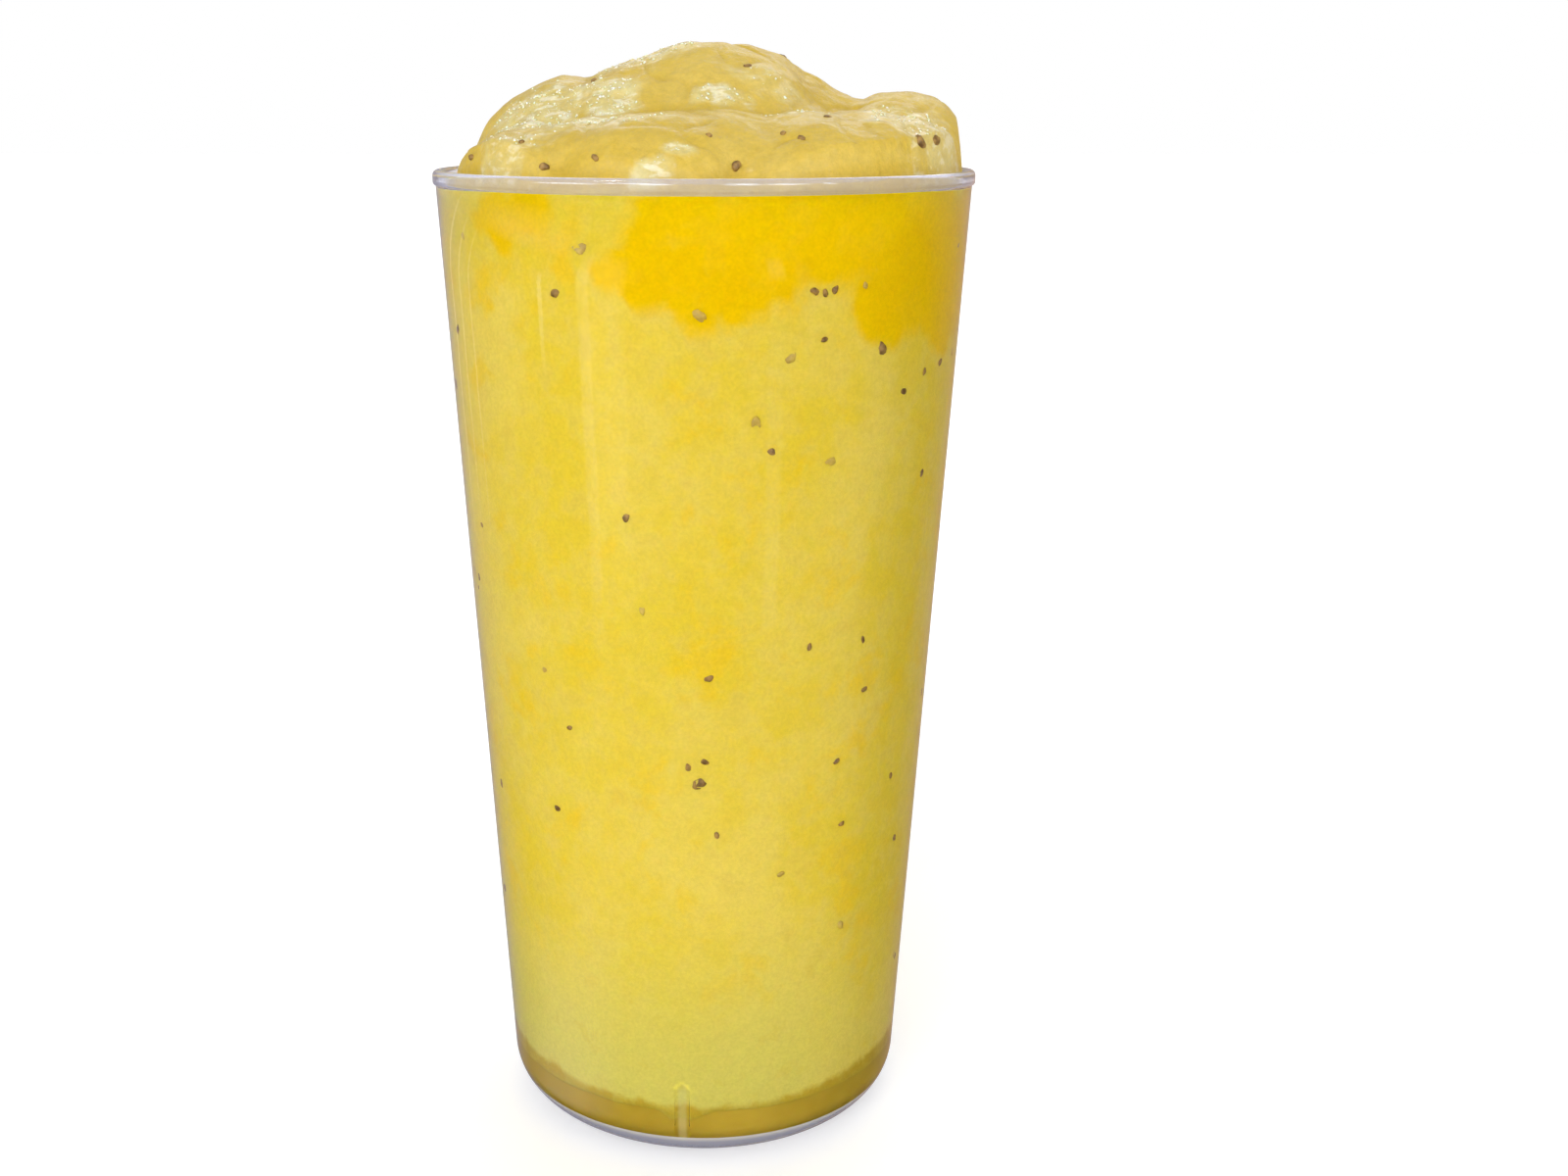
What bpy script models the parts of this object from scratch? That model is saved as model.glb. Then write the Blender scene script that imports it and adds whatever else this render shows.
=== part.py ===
"""A passion fruit smoothie, filled to the brim of a clear plastic tumbler and heaped above its rim.

Three solids stand in one frame: the tumbler, the layer of dark juice that has settled in its
rounded foot, and the frozen smoothie above that layer, up to its crown of lobes with crushed seeds.
Metres, +Z up. The origin is where the tumbler's axis meets the surface that it stands on, and the
side that the photograph shows faces -Y.
"""

import math

import bmesh
import bpy
from mathutils import Matrix, Vector, noise

MM = 0.001

# Tumbler: the outer wall is a straight taper between the foot and the mouth
MOUTH_RADIUS = 42.5 * MM  # outside the wall, just under the lip
WALL_TOP = 156.4 * MM  # where the wall ends and the lip begins
FOOT_RADIUS = 33.3 * MM  # of the same straight line, carried down to the table
WALL = 1.3 * MM
HEEL_RADIUS = 8.1 * MM  # rounding between wall and foot, outside
LIP_HEIGHT = 2.5 * MM
LIP_PROUD = 0.45 * MM  # how far the lip stands out from the wall
LIP_ROUNDING = 0.85 * MM
FLOOR_Z = 3.2 * MM  # the inside floor
FLOOR_ROUNDING = 5.0 * MM  # between the inside floor and the wall
STANDING_RING_INNER = 22.5 * MM  # the flat ring that touches the table
PUSH_UP = 0.9 * MM  # height of the recess inside that ring
PUSH_UP_RUN = 2.5 * MM

# Stacking lugs: three low ribs inside the wall, above the floor
LUG_COUNT = 3
LUG_AZIMUTH = math.radians(-96.2)  # of the one that shows in front
LUG_TOP = 15.2 * MM
LUG_HALF_WIDTH = 1.2 * MM
LUG_DEPTH = 0.7 * MM  # how far a lug stands out of the wall
LUG_FOOT = 1.2 * MM  # height of a lug's lower end above the inside floor
LUG_SIDES = 12
LUG_END_STEPS = 4
LUG_BODY_STEPS = 6

# Contents
GAP = 0.3 * MM  # between neighbouring solids
JUICE_TOP = 10.7 * MM
BRIM_Z = 157.0 * MM  # where the smoothie meets the inside of the lip

# Crown: lobes of frozen smoothie, each (name, x, y, radius x, radius y, top z, squareness) in millimetres
LOBES = (
    ("peak", 1.5, 2.0, 22.0, 22.0, 178.2, 2.2),
    ("left shoulder", -19.5, 1.0, 17.5, 18.0, 173.3, 2.1),
    ("right shoulder", 31.0, 2.0, 12.0, 15.0, 170.4, 2.8),
    ("right saddle", 19.0, 2.0, 7.8, 10.0, 171.5, 2.0),
    ("left ridge", -11.0, -7.0, 11.0, 14.0, 172.6, 2.0),
    ("front mound", -6.0, -22.0, 19.0, 18.6, 168.0, 2.2),
    ("front left mound", -24.0, -17.0, 14.0, 17.0, 165.8, 2.2),
    ("front right slope", 14.0, -19.0, 21.0, 20.6, 167.6, 2.0),
    ("right front slope", 28.0, -14.0, 13.0, 17.0, 166.8, 2.2),
    ("back mound", -9.0, 23.0, 20.0, 17.4, 168.4, 2.2),
    ("back left mound", -25.0, 17.0, 12.5, 15.0, 165.0, 2.2),
    ("back right mound", 15.0, 23.5, 18.0, 16.0, 167.4, 2.0),
)
LOBE_BLEND = 1.3 * MM  # width over which neighbouring lobes flow together
EDGE_STEEPNESS = 4.5  # how sharply the crown rises inside the lip
RELIEF_LAYERS = ((1 / 9.0, 0.75), (1 / 4.0, 0.35))  # lumps: (per millimetre, height in millimetres)

# Crushed seeds on the crown: those in front as (x, y, size) in millimetres, the rest behind by a rule
FRONT_SEEDS = (
    (6.7, -9.7, 1.6),
    (18.0, -25.0, 1.5),
    (11.2, -31.9, 1.4),
    (13.7, -33.6, 1.8),
    (30.4, -23.6, 2.5),
    (33.0, -20.2, 2.3),
    (4.5, -36.8, 2.2),
    (-14.8, -35.7, 1.5),
    (-21.9, -31.9, 2.0),
    (-26.2, -28.4, 1.1),
    (-16.9, -7.5, 1.7),
    (-33.2, -20.2, 1.6),
    (0.7, -34.4, 1.2),
)
BACK_SEED_COUNT = 12
BACK_SEED_SIZES = (1.2, 2.3)
BACK_SEED_SECTOR = (math.radians(20), math.radians(160))
BACK_SEED_REACH = (8.0, 35.0)  # nearest and furthest from the axis
BACK_SEED_SIZE_TURN = 7.0  # steps the sizes round a sine, so that neighbours differ
SEED_FLATNESS = 0.6
SEED_WIDTH = 0.72  # across, as a share of its length
SEED_SINK = 0.3  # share of a seed's thickness that lies below the surface
SLOPE_STEP = 0.5 * MM  # over which the crown's slope under a seed is measured
GOLDEN_SHARE = (math.sqrt(5) - 1) / 2

# Facets
SEGMENTS = 72
CROWN_SEGMENTS = 84
CROWN_RINGS = 24
CROWN_RING_CROWDING = 1.6  # above 1, rings crowd towards the lip
TUMBLER_SHARP_ANGLE = math.radians(35)
CROWN_SHARP_ANGLE = math.radians(50)
HEEL_STEPS = 7
LIP_STEPS = 6
FLOOR_STEPS = 5
MERGE_DISTANCE = 0.00001

# Finishes: (colour, roughness, transmission)
CLEAR_PLASTIC = ((0.82, 0.84, 0.90), 0.05, 0.9)
AMBER_JUICE = ((0.44, 0.26, 0.02), 0.2, 0.0)
FROZEN_PULP = ((0.83, 0.58, 0.07), 0.4, 0.0)

TAPER = (MOUTH_RADIUS - FOOT_RADIUS) / WALL_TOP
TAPER_LENGTH = math.hypot(1, TAPER)
TAPER_ANGLE = math.atan(TAPER)


def outer_radius(z):
    """Radius of the straight outer wall line at height z."""
    return FOOT_RADIUS + TAPER * z


def inner_radius(z, inset=0.0):
    """Radius of the straight inner wall line at height z, moved inwards by inset."""
    return outer_radius(z) - (WALL + inset) * TAPER_LENGTH


def corner_arc(line_radius, floor_z, rounding, steps):
    """Points of the arc from the wall line down to a floor, as (radius, height), wall end first."""
    centre_z = floor_z + rounding
    centre_r = line_radius(centre_z) - rounding * TAPER_LENGTH
    points = []
    for i in range(steps + 1):
        angle = -TAPER_ANGLE + (TAPER_ANGLE - math.pi / 2) * i / steps
        points.append((centre_r + rounding * math.cos(angle), centre_z + rounding * math.sin(angle)))
    return points


def tumbler_profile():
    """The tumbler's section from the centre of its inside floor, over the lip and down to its foot."""
    top = WALL_TOP + LIP_HEIGHT
    shoulder = top - LIP_ROUNDING
    lip_inner = inner_radius(shoulder)
    lip_outer = MOUTH_RADIUS + LIP_PROUD
    lip_centre = (lip_inner + lip_outer) / 2
    lip_half = (lip_outer - lip_inner) / 2
    points = [(0.0, FLOOR_Z)]
    points += reversed(corner_arc(inner_radius, FLOOR_Z, FLOOR_ROUNDING, FLOOR_STEPS))
    for i in range(LIP_STEPS + 1):
        angle = math.pi * (1 - i / LIP_STEPS)
        points.append((lip_centre + lip_half * math.cos(angle), shoulder + LIP_ROUNDING * math.sin(angle)))
    points.append((lip_outer, WALL_TOP + LIP_PROUD))
    points.append((MOUTH_RADIUS, WALL_TOP))
    heel = corner_arc(outer_radius, 0.0, HEEL_RADIUS, HEEL_STEPS)
    points += heel
    points.append((STANDING_RING_INNER, 0.0))
    points.append((STANDING_RING_INNER - PUSH_UP_RUN, PUSH_UP))
    points.append((0.0, PUSH_UP))
    return points


def juice_profile():
    """The settled juice's section from its top centre, down the wall and round to the floor."""
    floor_z = FLOOR_Z + GAP
    points = [(0.0, JUICE_TOP), (inner_radius(JUICE_TOP, GAP), JUICE_TOP)]
    points += corner_arc(lambda z: inner_radius(z, GAP), floor_z, FLOOR_ROUNDING - GAP, FLOOR_STEPS)
    points.append((0.0, floor_z))
    return points


def material(name, finish):
    """A Principled material of one colour."""
    colour, roughness, transmission = finish
    made = bpy.data.materials.new(name)
    made.use_nodes = True
    made.diffuse_color = (*colour, 1.0)
    shader = made.node_tree.nodes["Principled BSDF"]
    shader.inputs["Base Color"].default_value = (*colour, 1.0)
    shader.inputs["Roughness"].default_value = roughness
    shader.inputs["Metallic"].default_value = 0.0
    shader.inputs["Transmission Weight"].default_value = transmission
    return made


def add_object(name, mesh, collection=None):
    """Links a new object for this mesh and returns it."""
    made = bpy.data.objects.new(name, mesh)
    (collection or bpy.context.scene.collection).objects.link(made)
    return made


def turned(name, profile, segments):
    """A solid turned from a section that starts and ends on the Z axis, outer side top to bottom."""
    mesh = bpy.data.meshes.new(name)
    mesh.from_pydata([(r, 0.0, z) for r, z in profile], [(i, i + 1) for i in range(len(profile) - 1)], [])
    made = add_object(name, mesh)
    screw = made.modifiers.new("turn", "SCREW")
    screw.axis = "Z"
    screw.angle = 2 * math.pi
    screw.steps = segments
    screw.render_steps = segments
    screw.use_merge_vertices = True
    screw.merge_threshold = MERGE_DISTANCE
    return made


def inside_radius(z):
    """Radius of the tumbler's inside at height z, round the corner of the floor too."""
    centre_z = FLOOR_Z + FLOOR_ROUNDING
    centre_r = inner_radius(centre_z) - FLOOR_ROUNDING * TAPER_LENGTH
    drop = centre_z - z
    if drop <= FLOOR_ROUNDING * math.sin(TAPER_ANGLE):
        return inner_radius(z)
    return centre_r + math.sqrt(FLOOR_ROUNDING**2 - drop**2)


def lug_sections(grow):
    """A lug's sections from foot to dome, each (height, share of its full width)."""
    half_width = LUG_HALF_WIDTH + grow
    low = FLOOR_Z + LUG_FOOT + LUG_HALF_WIDTH
    high = LUG_TOP - LUG_HALF_WIDTH
    sections = []
    for i in range(1, LUG_END_STEPS):
        angle = math.pi / 2 * i / LUG_END_STEPS
        sections.append((low - half_width * math.cos(angle), math.sin(angle)))
    for i in range(LUG_BODY_STEPS + 1):
        sections.append((low + (high - low) * i / LUG_BODY_STEPS, 1.0))
    for i in range(LUG_END_STEPS - 1, 0, -1):
        angle = math.pi / 2 * i / LUG_END_STEPS
        sections.append((high + half_width * math.cos(angle), math.sin(angle)))
    return sections, low - half_width, high + half_width


def lug(name, azimuth, grow, collection):
    """A stacking lug: an upright rib with domed ends, its middle on the inside of the wall."""
    mesh = bpy.data.meshes.new(name)
    work = bmesh.new()
    sections, bottom, top = lug_sections(grow)
    rings = []
    for z, share in sections:
        ring = []
        for i in range(LUG_SIDES):
            angle = 2 * math.pi * i / LUG_SIDES
            radial = (LUG_DEPTH + grow) * share * math.cos(angle)
            across = (LUG_HALF_WIDTH + grow) * share * math.sin(angle)
            ring.append(work.verts.new((inside_radius(z) + radial, across, z)))
        rings.append(ring)
    foot = work.verts.new((inside_radius(bottom), 0.0, bottom))
    tip = work.verts.new((inside_radius(top), 0.0, top))
    for i in range(LUG_SIDES):
        j = (i + 1) % LUG_SIDES
        work.faces.new((foot, rings[0][j], rings[0][i]))
        for lower, upper in zip(rings, rings[1:]):
            work.faces.new((lower[i], lower[j], upper[j], upper[i]))
        work.faces.new((rings[-1][i], rings[-1][j], tip))
    work.transform(Matrix.Rotation(azimuth, 4, "Z"))
    work.to_mesh(mesh)
    work.free()
    return add_object(name, mesh, collection)


def lug_ring(name, grow):
    """All the lugs, evenly spaced, in a collection of their own."""
    ring = bpy.data.collections.new(name)
    bpy.context.scene.collection.children.link(ring)
    for i in range(LUG_COUNT):
        lug(f"{name}_{i}", LUG_AZIMUTH + 2 * math.pi * i / LUG_COUNT, grow, ring)
    return ring


def combine(made, operation, collection, name):
    """Adds a Boolean of this object with everything in a collection."""
    boolean = made.modifiers.new(name, "BOOLEAN")
    boolean.operation = operation
    boolean.operand_type = "COLLECTION"
    boolean.collection = collection
    boolean.solver = "EXACT"


def apply_modifiers(made):
    """Turns the object into the mesh that its modifiers make."""
    shaped = bpy.data.meshes.new_from_object(made.evaluated_get(bpy.context.evaluated_depsgraph_get()))
    made.modifiers.clear()
    made.data = shaped


def remove_collection(collection):
    """Removes a collection and the objects in it."""
    for member in list(collection.objects):
        bpy.data.objects.remove(member)
    bpy.data.collections.remove(collection)


def hide_cutters(collection):
    """Shows cutters as wires and keeps them out of the model."""
    for member in collection.objects:
        member.display_type = "WIRE"
        member.hide_render = True


def lobe_height(x, y, lobe):
    """Height of one lobe above the brim at a point, falling to 0 at its edge and below 0 outside."""
    _, cx, cy, rx, ry, top, squareness = lobe
    reach = math.hypot((x / MM - cx) / rx, (y / MM - cy) / ry)
    rise = top * MM - BRIM_Z
    if reach >= 1:
        return rise * (1 - reach)
    return rise * math.sqrt(1 - reach**squareness)


def blended_height(x, y):
    """The lobes flowed together with a smooth maximum."""
    heights = [lobe_height(x, y, lobe) for lobe in LOBES]
    highest = max(heights)
    total = sum(math.exp((h - highest) / LOBE_BLEND) for h in heights)
    return highest + LOBE_BLEND * math.log(total)


def relief(x, y, z):
    """Lumps of ice in the surface, as a change in height."""
    place = Vector((x, y, z)) / MM
    return sum(noise.noise(place * scale) * height * MM for scale, height in RELIEF_LAYERS)


def crown_height(x, y):
    """Height of the smoothie's free surface at a point inside the lip."""
    rim = inner_radius(BRIM_Z, GAP)
    edge = max(0.0, 1 - (math.hypot(x, y) / rim) ** 2)
    hold = min(1.0, EDGE_STEEPNESS * math.sqrt(edge))  # 0 where the surface meets the lip
    base = blended_height(x, y)
    return BRIM_Z + hold * max(0.0, base + relief(x, y, base))


def crown_rings():
    """Radii of the crown's rings from the lip inwards, closer together where it is steep."""
    rim = inner_radius(BRIM_Z, GAP)
    return [rim * (1 - (i / CROWN_RINGS) ** CROWN_RING_CROWDING) for i in range(CROWN_RINGS)]


def smoothie_mesh():
    """The smoothie from the top of the settled juice to its crown, as one closed mesh."""
    bottom_z = JUICE_TOP + GAP
    mesh = bpy.data.meshes.new("smoothie")
    work = bmesh.new()
    loops = []
    for radius in (inner_radius(bottom_z, GAP), *crown_rings()):
        loop = []
        for i in range(CROWN_SEGMENTS):
            angle = 2 * math.pi * i / CROWN_SEGMENTS
            x, y = radius * math.cos(angle), radius * math.sin(angle)
            loop.append(work.verts.new((x, y, crown_height(x, y) if loops else bottom_z)))
        loops.append(loop)
    floor = work.verts.new((0.0, 0.0, bottom_z))
    summit = work.verts.new((0.0, 0.0, crown_height(0.0, 0.0)))
    for i in range(CROWN_SEGMENTS):
        j = (i + 1) % CROWN_SEGMENTS
        work.faces.new((floor, loops[0][j], loops[0][i]))
        for lower, upper in zip(loops, loops[1:]):
            work.faces.new((lower[i], lower[j], upper[j], upper[i]))
        work.faces.new((loops[-1][i], loops[-1][j], summit))
    bmesh.ops.triangulate(work, faces=[face for face in work.faces if len(face.verts) == 4])
    work.to_mesh(mesh)
    work.free()
    return mesh


def between(ends, share):
    """A value that lies this share of the way from the first end to the second."""
    low, high = ends
    return low + (high - low) * share


def surface_normal(x, y):
    """Upward normal of the crown at a point."""
    slope_x = (crown_height(x + SLOPE_STEP, y) - crown_height(x - SLOPE_STEP, y)) / (2 * SLOPE_STEP)
    slope_y = (crown_height(x, y + SLOPE_STEP) - crown_height(x, y - SLOPE_STEP)) / (2 * SLOPE_STEP)
    return Vector((-slope_x, -slope_y, 1.0)).normalized()


def back_seed_places():
    """Seeds on the side that faces away, spread by a golden ratio rule, as (x, y, size)."""
    places = []
    for i in range(BACK_SEED_COUNT):
        angle = between(BACK_SEED_SECTOR, i * GOLDEN_SHARE % 1)
        radius = between(BACK_SEED_REACH, math.sqrt((i + 0.5) / BACK_SEED_COUNT))
        size = between(BACK_SEED_SIZES, 0.5 + 0.5 * math.sin(BACK_SEED_SIZE_TURN * i))
        places.append((radius * math.cos(angle), radius * math.sin(angle), size))
    return places


def seed(name, x, y, size, turn, collection):
    """An angular crushed seed, part sunk in the crown at (x, y), with its flat side along the surface."""
    mesh = bpy.data.meshes.new(name)
    work = bmesh.new()
    bmesh.ops.create_icosphere(work, subdivisions=1, radius=size / 2)
    thickness = size * SEED_FLATNESS
    normal = surface_normal(x, y)
    place = Vector((x, y, crown_height(x, y))) + normal * thickness * (0.5 - SEED_SINK)
    lie = normal.to_track_quat("Z", "Y").to_matrix().to_4x4()
    spin = Matrix.Rotation(turn, 4, "Z")
    shape = Matrix.Diagonal((1.0, SEED_WIDTH, SEED_FLATNESS, 1.0))
    work.transform(Matrix.Translation(place) @ lie @ spin @ shape)
    work.to_mesh(mesh)
    work.free()
    return add_object(name, mesh, collection)


def seed_scatter():
    """Every seed of the crown, in a collection of its own."""
    scatter = bpy.data.collections.new("seeds")
    bpy.context.scene.collection.children.link(scatter)
    for i, (x, y, size) in enumerate((*FRONT_SEEDS, *back_seed_places())):
        seed(f"seed_{i}", x * MM, y * MM, size * MM, 2 * math.pi * (i * GOLDEN_SHARE % 1), scatter)
    return scatter


def build_tumbler():
    """The clear tumbler with its lip, rounded heel, standing ring and stacking lugs."""
    made = turned("tumbler", tumbler_profile(), SEGMENTS)
    lugs = lug_ring("lugs", 0.0)
    combine(made, "UNION", lugs, "join lugs")
    apply_modifiers(made)
    remove_collection(lugs)
    made.data.materials.clear()
    made.data.materials.append(material("clear_plastic", CLEAR_PLASTIC))
    made.data.shade_smooth()
    made.data.set_sharp_from_angle(angle=TUMBLER_SHARP_ANGLE)


def build_settled_juice(cutters):
    """The dark juice in the rounded foot, cut round the lugs."""
    made = turned("settled_juice", juice_profile(), SEGMENTS)
    combine(made, "DIFFERENCE", cutters, "clear lugs")
    made.data.materials.append(material("settled_juice", AMBER_JUICE))


def build_smoothie(cutters):
    """The frozen smoothie with its crown and seeds, cut round the lugs."""
    made = add_object("smoothie", smoothie_mesh())
    seeds = seed_scatter()
    combine(made, "UNION", seeds, "join seeds")
    apply_modifiers(made)
    remove_collection(seeds)
    combine(made, "DIFFERENCE", cutters, "clear lugs")
    made.data.materials.clear()
    made.data.materials.append(material("smoothie", FROZEN_PULP))
    made.data.shade_smooth()
    made.data.set_sharp_from_angle(angle=CROWN_SHARP_ANGLE)


def main():
    for old in list(bpy.data.objects):
        bpy.data.objects.remove(old)
    cutters = lug_ring("lug_clearance", GAP)
    hide_cutters(cutters)
    build_tumbler()
    build_settled_juice(cutters)
    build_smoothie(cutters)


main()
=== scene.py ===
"""The looks of a passion fruit smoothie in its clear plastic tumbler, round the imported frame.

Laid out as an add-on and run as a script. Metres, +Z up; the side that the photograph shows faces -Y.
"""

import math

import bmesh
import bpy
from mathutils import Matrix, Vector, noise


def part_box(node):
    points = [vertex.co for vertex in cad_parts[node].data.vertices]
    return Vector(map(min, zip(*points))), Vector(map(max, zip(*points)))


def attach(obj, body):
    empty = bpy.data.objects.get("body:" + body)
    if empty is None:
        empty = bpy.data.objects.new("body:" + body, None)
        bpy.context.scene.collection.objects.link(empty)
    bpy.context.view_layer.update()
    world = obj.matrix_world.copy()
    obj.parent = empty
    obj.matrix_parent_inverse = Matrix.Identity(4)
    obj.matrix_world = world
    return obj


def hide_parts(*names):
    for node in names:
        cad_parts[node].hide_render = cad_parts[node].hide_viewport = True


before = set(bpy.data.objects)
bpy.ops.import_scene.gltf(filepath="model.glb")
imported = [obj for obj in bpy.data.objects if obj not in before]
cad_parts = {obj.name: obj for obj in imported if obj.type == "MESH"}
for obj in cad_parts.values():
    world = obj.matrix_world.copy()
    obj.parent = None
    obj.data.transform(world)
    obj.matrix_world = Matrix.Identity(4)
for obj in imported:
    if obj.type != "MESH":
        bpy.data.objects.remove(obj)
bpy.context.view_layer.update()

TUMBLER_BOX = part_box("tumbler")
SMOOTHIE_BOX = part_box("smoothie")

bl_info = {
    "name": "Passion fruit smoothie",
    "version": (1, 0, 0),
    "blender": (4, 5, 0),
    "location": "3D View > Sidebar > Smoothie",
    "description": "Makes a heaped fruit smoothie in a clear plastic tumbler",
    "category": "Object",
}

MM = 0.001
TURN = 2 * math.pi
SCATTER_SEED = 5
GOLDEN_SHARE = (math.sqrt(5) - 1) / 2

# Tumbler's section, as in the frame
FOOT_RADIUS = 33.3 * MM
WALL_TOP = 156.4 * MM
HEEL_RADIUS = 8.1 * MM
LIP_PROUD = 0.45 * MM
LIP_ROUNDING = 0.85 * MM
FLOOR_Z = 3.2 * MM
FLOOR_ROUNDING = 5.0 * MM
STANDING_RING_INNER = 22.5 * MM
PUSH_UP = 0.9 * MM
PUSH_UP_RUN = 2.5 * MM
LIP_TOP = TUMBLER_BOX[1].z
MOUTH_RADIUS = TUMBLER_BOX[1].x - LIP_PROUD
TAPER = (MOUTH_RADIUS - FOOT_RADIUS) / WALL_TOP
TAPER_LENGTH = math.hypot(1, TAPER)
TAPER_ANGLE = math.atan(TAPER)

# Stacking lugs
LUG_COUNT = 3
LUG_AZIMUTH = math.radians(-96.2)
LUG_TOP = 15.2 * MM
LUG_FOOT = 1.2 * MM  # above the inside floor
LUG_HALF_WIDTH = 1.2 * MM
LUG_DEPTH = 0.7 * MM
LUG_FADE = (17.0 * MM, 30.0 * MM)  # heights over which the columns spread out again

# Levels of the contents, and how far they reach into the wall so that no air shows
BRIM_Z = 157.0 * MM
JUICE_TOP = 10.9 * MM
SMOOTHIE_BOTTOM = 10.2 * MM
SMOOTHIE_REACH = 0.12 * MM
RIM_GAP = 0.3 * MM  # between the wall and the crown's free surface
HAIR = 0.01 * MM
# The lip band gets a milky lavender copy of the plastic: painted reflection
LIP_BAND = 2.6 * MM
# The foot band gets a darker milky lavender copy of the plastic: painted shade and reflection. Its tint is
# fuller below FOOT_LINE and paler above it, a painted light line.
FOOT_BAND = 5.0 * MM
FOOT_LINE = (4.1 * MM, 4.8 * MM)  # heights over which the foot turns paler
TINT_LEFT = 0.45  # share of a plastic's tint that is left above the foot
JUICE_REACH = 0.07 * MM

# The crown's lobes as in the frame: x, y, radius x, radius y, top z in millimetres, squareness
LOBES = (
    (1.5, 2.0, 22.0, 22.0, 178.2, 2.2),
    (-19.5, 1.0, 17.5, 18.0, 173.3, 2.1),
    (31.0, 2.0, 12.0, 15.0, 170.4, 2.8),
    (19.0, 2.0, 7.8, 10.0, 171.5, 2.0),
    (-11.0, -7.0, 11.0, 14.0, 172.6, 2.0),
    (-6.0, -22.0, 19.0, 18.6, 168.0, 2.2),
    (-24.0, -17.0, 14.0, 17.0, 165.8, 2.2),
    (14.0, -19.0, 21.0, 20.6, 167.6, 2.0),
    (28.0, -14.0, 13.0, 17.0, 166.8, 2.2),
    (-9.0, 23.0, 20.0, 17.4, 168.4, 2.2),
    (-25.0, 17.0, 12.5, 15.0, 165.0, 2.2),
    (15.0, 23.5, 18.0, 16.0, 167.4, 2.0),
)
LOBE_BLEND = 1.3 * MM
CREASE_BLEND, CREASE_START = 3.2 * MM, 0.9 * MM
EDGE_STEEPNESS = 4.5
# Lumps of the crown: (per millimetre, height in millimetres), the first two as in the frame
RELIEF_LAYERS = ((1 / 9.0, 0.75), (1 / 4.0, 0.35))
SLUSH_LAYERS = ((1 / 2.6, 0.3), (1 / 1.3, 0.14), (1 / 0.8, 0.06))
FOLD_SCALE, FOLD_DEPTH, FOLD_WARP = 1 / 11.0, 0.3, 6.0
# Painted shade in the crown's creases: the step to the neighbours, the depth of full shade and the most shade
HOLLOW_STEP, HOLLOW_DEPTH, HOLLOW_SHADE_SHARE = 2.0 * MM, 0.5 * MM, 0.4
# Slush dips beside each lug and wavers elsewhere, where it meets the settled juice
DIP_DEPTH, DIP_REACH, WAVER = 1.7 * MM, 9.0, 0.35 * MM  # the reach is in degrees
DIP_SPREAD = 2.0 * MM  # height over which the slush stretches down
AMBER_RISE, AMBER_FADE = 2.4 * MM, 1.2 * MM

# Froth on the crown, with painted glints in it: x, y, reach x, reach y in millimetres, strength
FROTH_AND_GLINT_PATCHES = (
    (-25.0, -13.0, 10.0, 8.0, 0.9),
    (-28.5, -27.0, 6.5, 4.0, 0.5),
    (-18.5, -24.0, 5.5, 2.6, 0.9),
    (-14.0, -15.5, 4.6, 5.0, 1.0),
    (-11.0, -28.0, 9.0, 3.0, 0.4),
    (2.3, -16.4, 4.2, 2.2, 0.9),
    (9.5, -11.5, 6.0, 3.0, 0.3),
    (13.5, -20.7, 7.0, 1.8, 0.6),
    (-9.0, -3.6, 9.0, 4.0, 0.6),
    (32.0, -18.0, 9.0, 11.0, 0.5),
    # These two, at the front by the lip, are painted highlight: pale patches where glints fall
    (-8.0, -39.6, 3.2, 1.0, 1.0),
    (-3.2, -37.6, 2.4, 1.0, 0.8),
    (-18.0, 22.0, 9.0, 7.0, 0.9),
    (6.0, 27.0, 8.0, 5.0, 0.7),
    (27.0, 18.0, 6.0, 8.0, 0.8),
    (-3.0, 10.0, 7.0, 4.0, 0.6),
)

# Pockets of clear juice behind the wall: azimuth, z, reach in degrees, reach in millimetres, strength
JUICE_POCKETS = (
    (-60.0, 154.0, 48.0, 10.0, 1.0),
    (-99.5, 146.0, 9.0, 8.5, 1.0),
    (-86.0, 147.5, 8.0, 7.0, 1.0),
    (-44.0, 144.0, 15.0, 11.0, 1.0),
    (-22.0, 148.0, 20.0, 12.0, 1.0),
    (-31.0, 142.5, 15.0, 10.0, 1.0),
    (-131.0, 152.0, 12.0, 6.0, 1.0),
    (-117.0, 147.0, 5.0, 5.0, 0.45),
    (-143.0, 138.5, 4.0, 3.0, 0.4),
    (-133.0, 100.0, 3.5, 3.0, 0.35),
    (-99.0, 109.0, 3.0, 2.0, 0.3),
    (-86.0, 101.0, 3.0, 2.0, 0.3),
    (-40.0, 39.5, 3.5, 3.0, 0.35),
    (24.0, 152.0, 26.0, 8.0, 0.9),
    (66.0, 146.0, 14.0, 10.0, 0.85),
    (112.0, 153.0, 28.0, 7.0, 0.9),
    (150.0, 146.0, 10.0, 7.0, 0.7),
    (88.0, 96.0, 4.0, 3.0, 0.35),
    (20.0, 70.0, 4.0, 3.0, 0.35),
)

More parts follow.
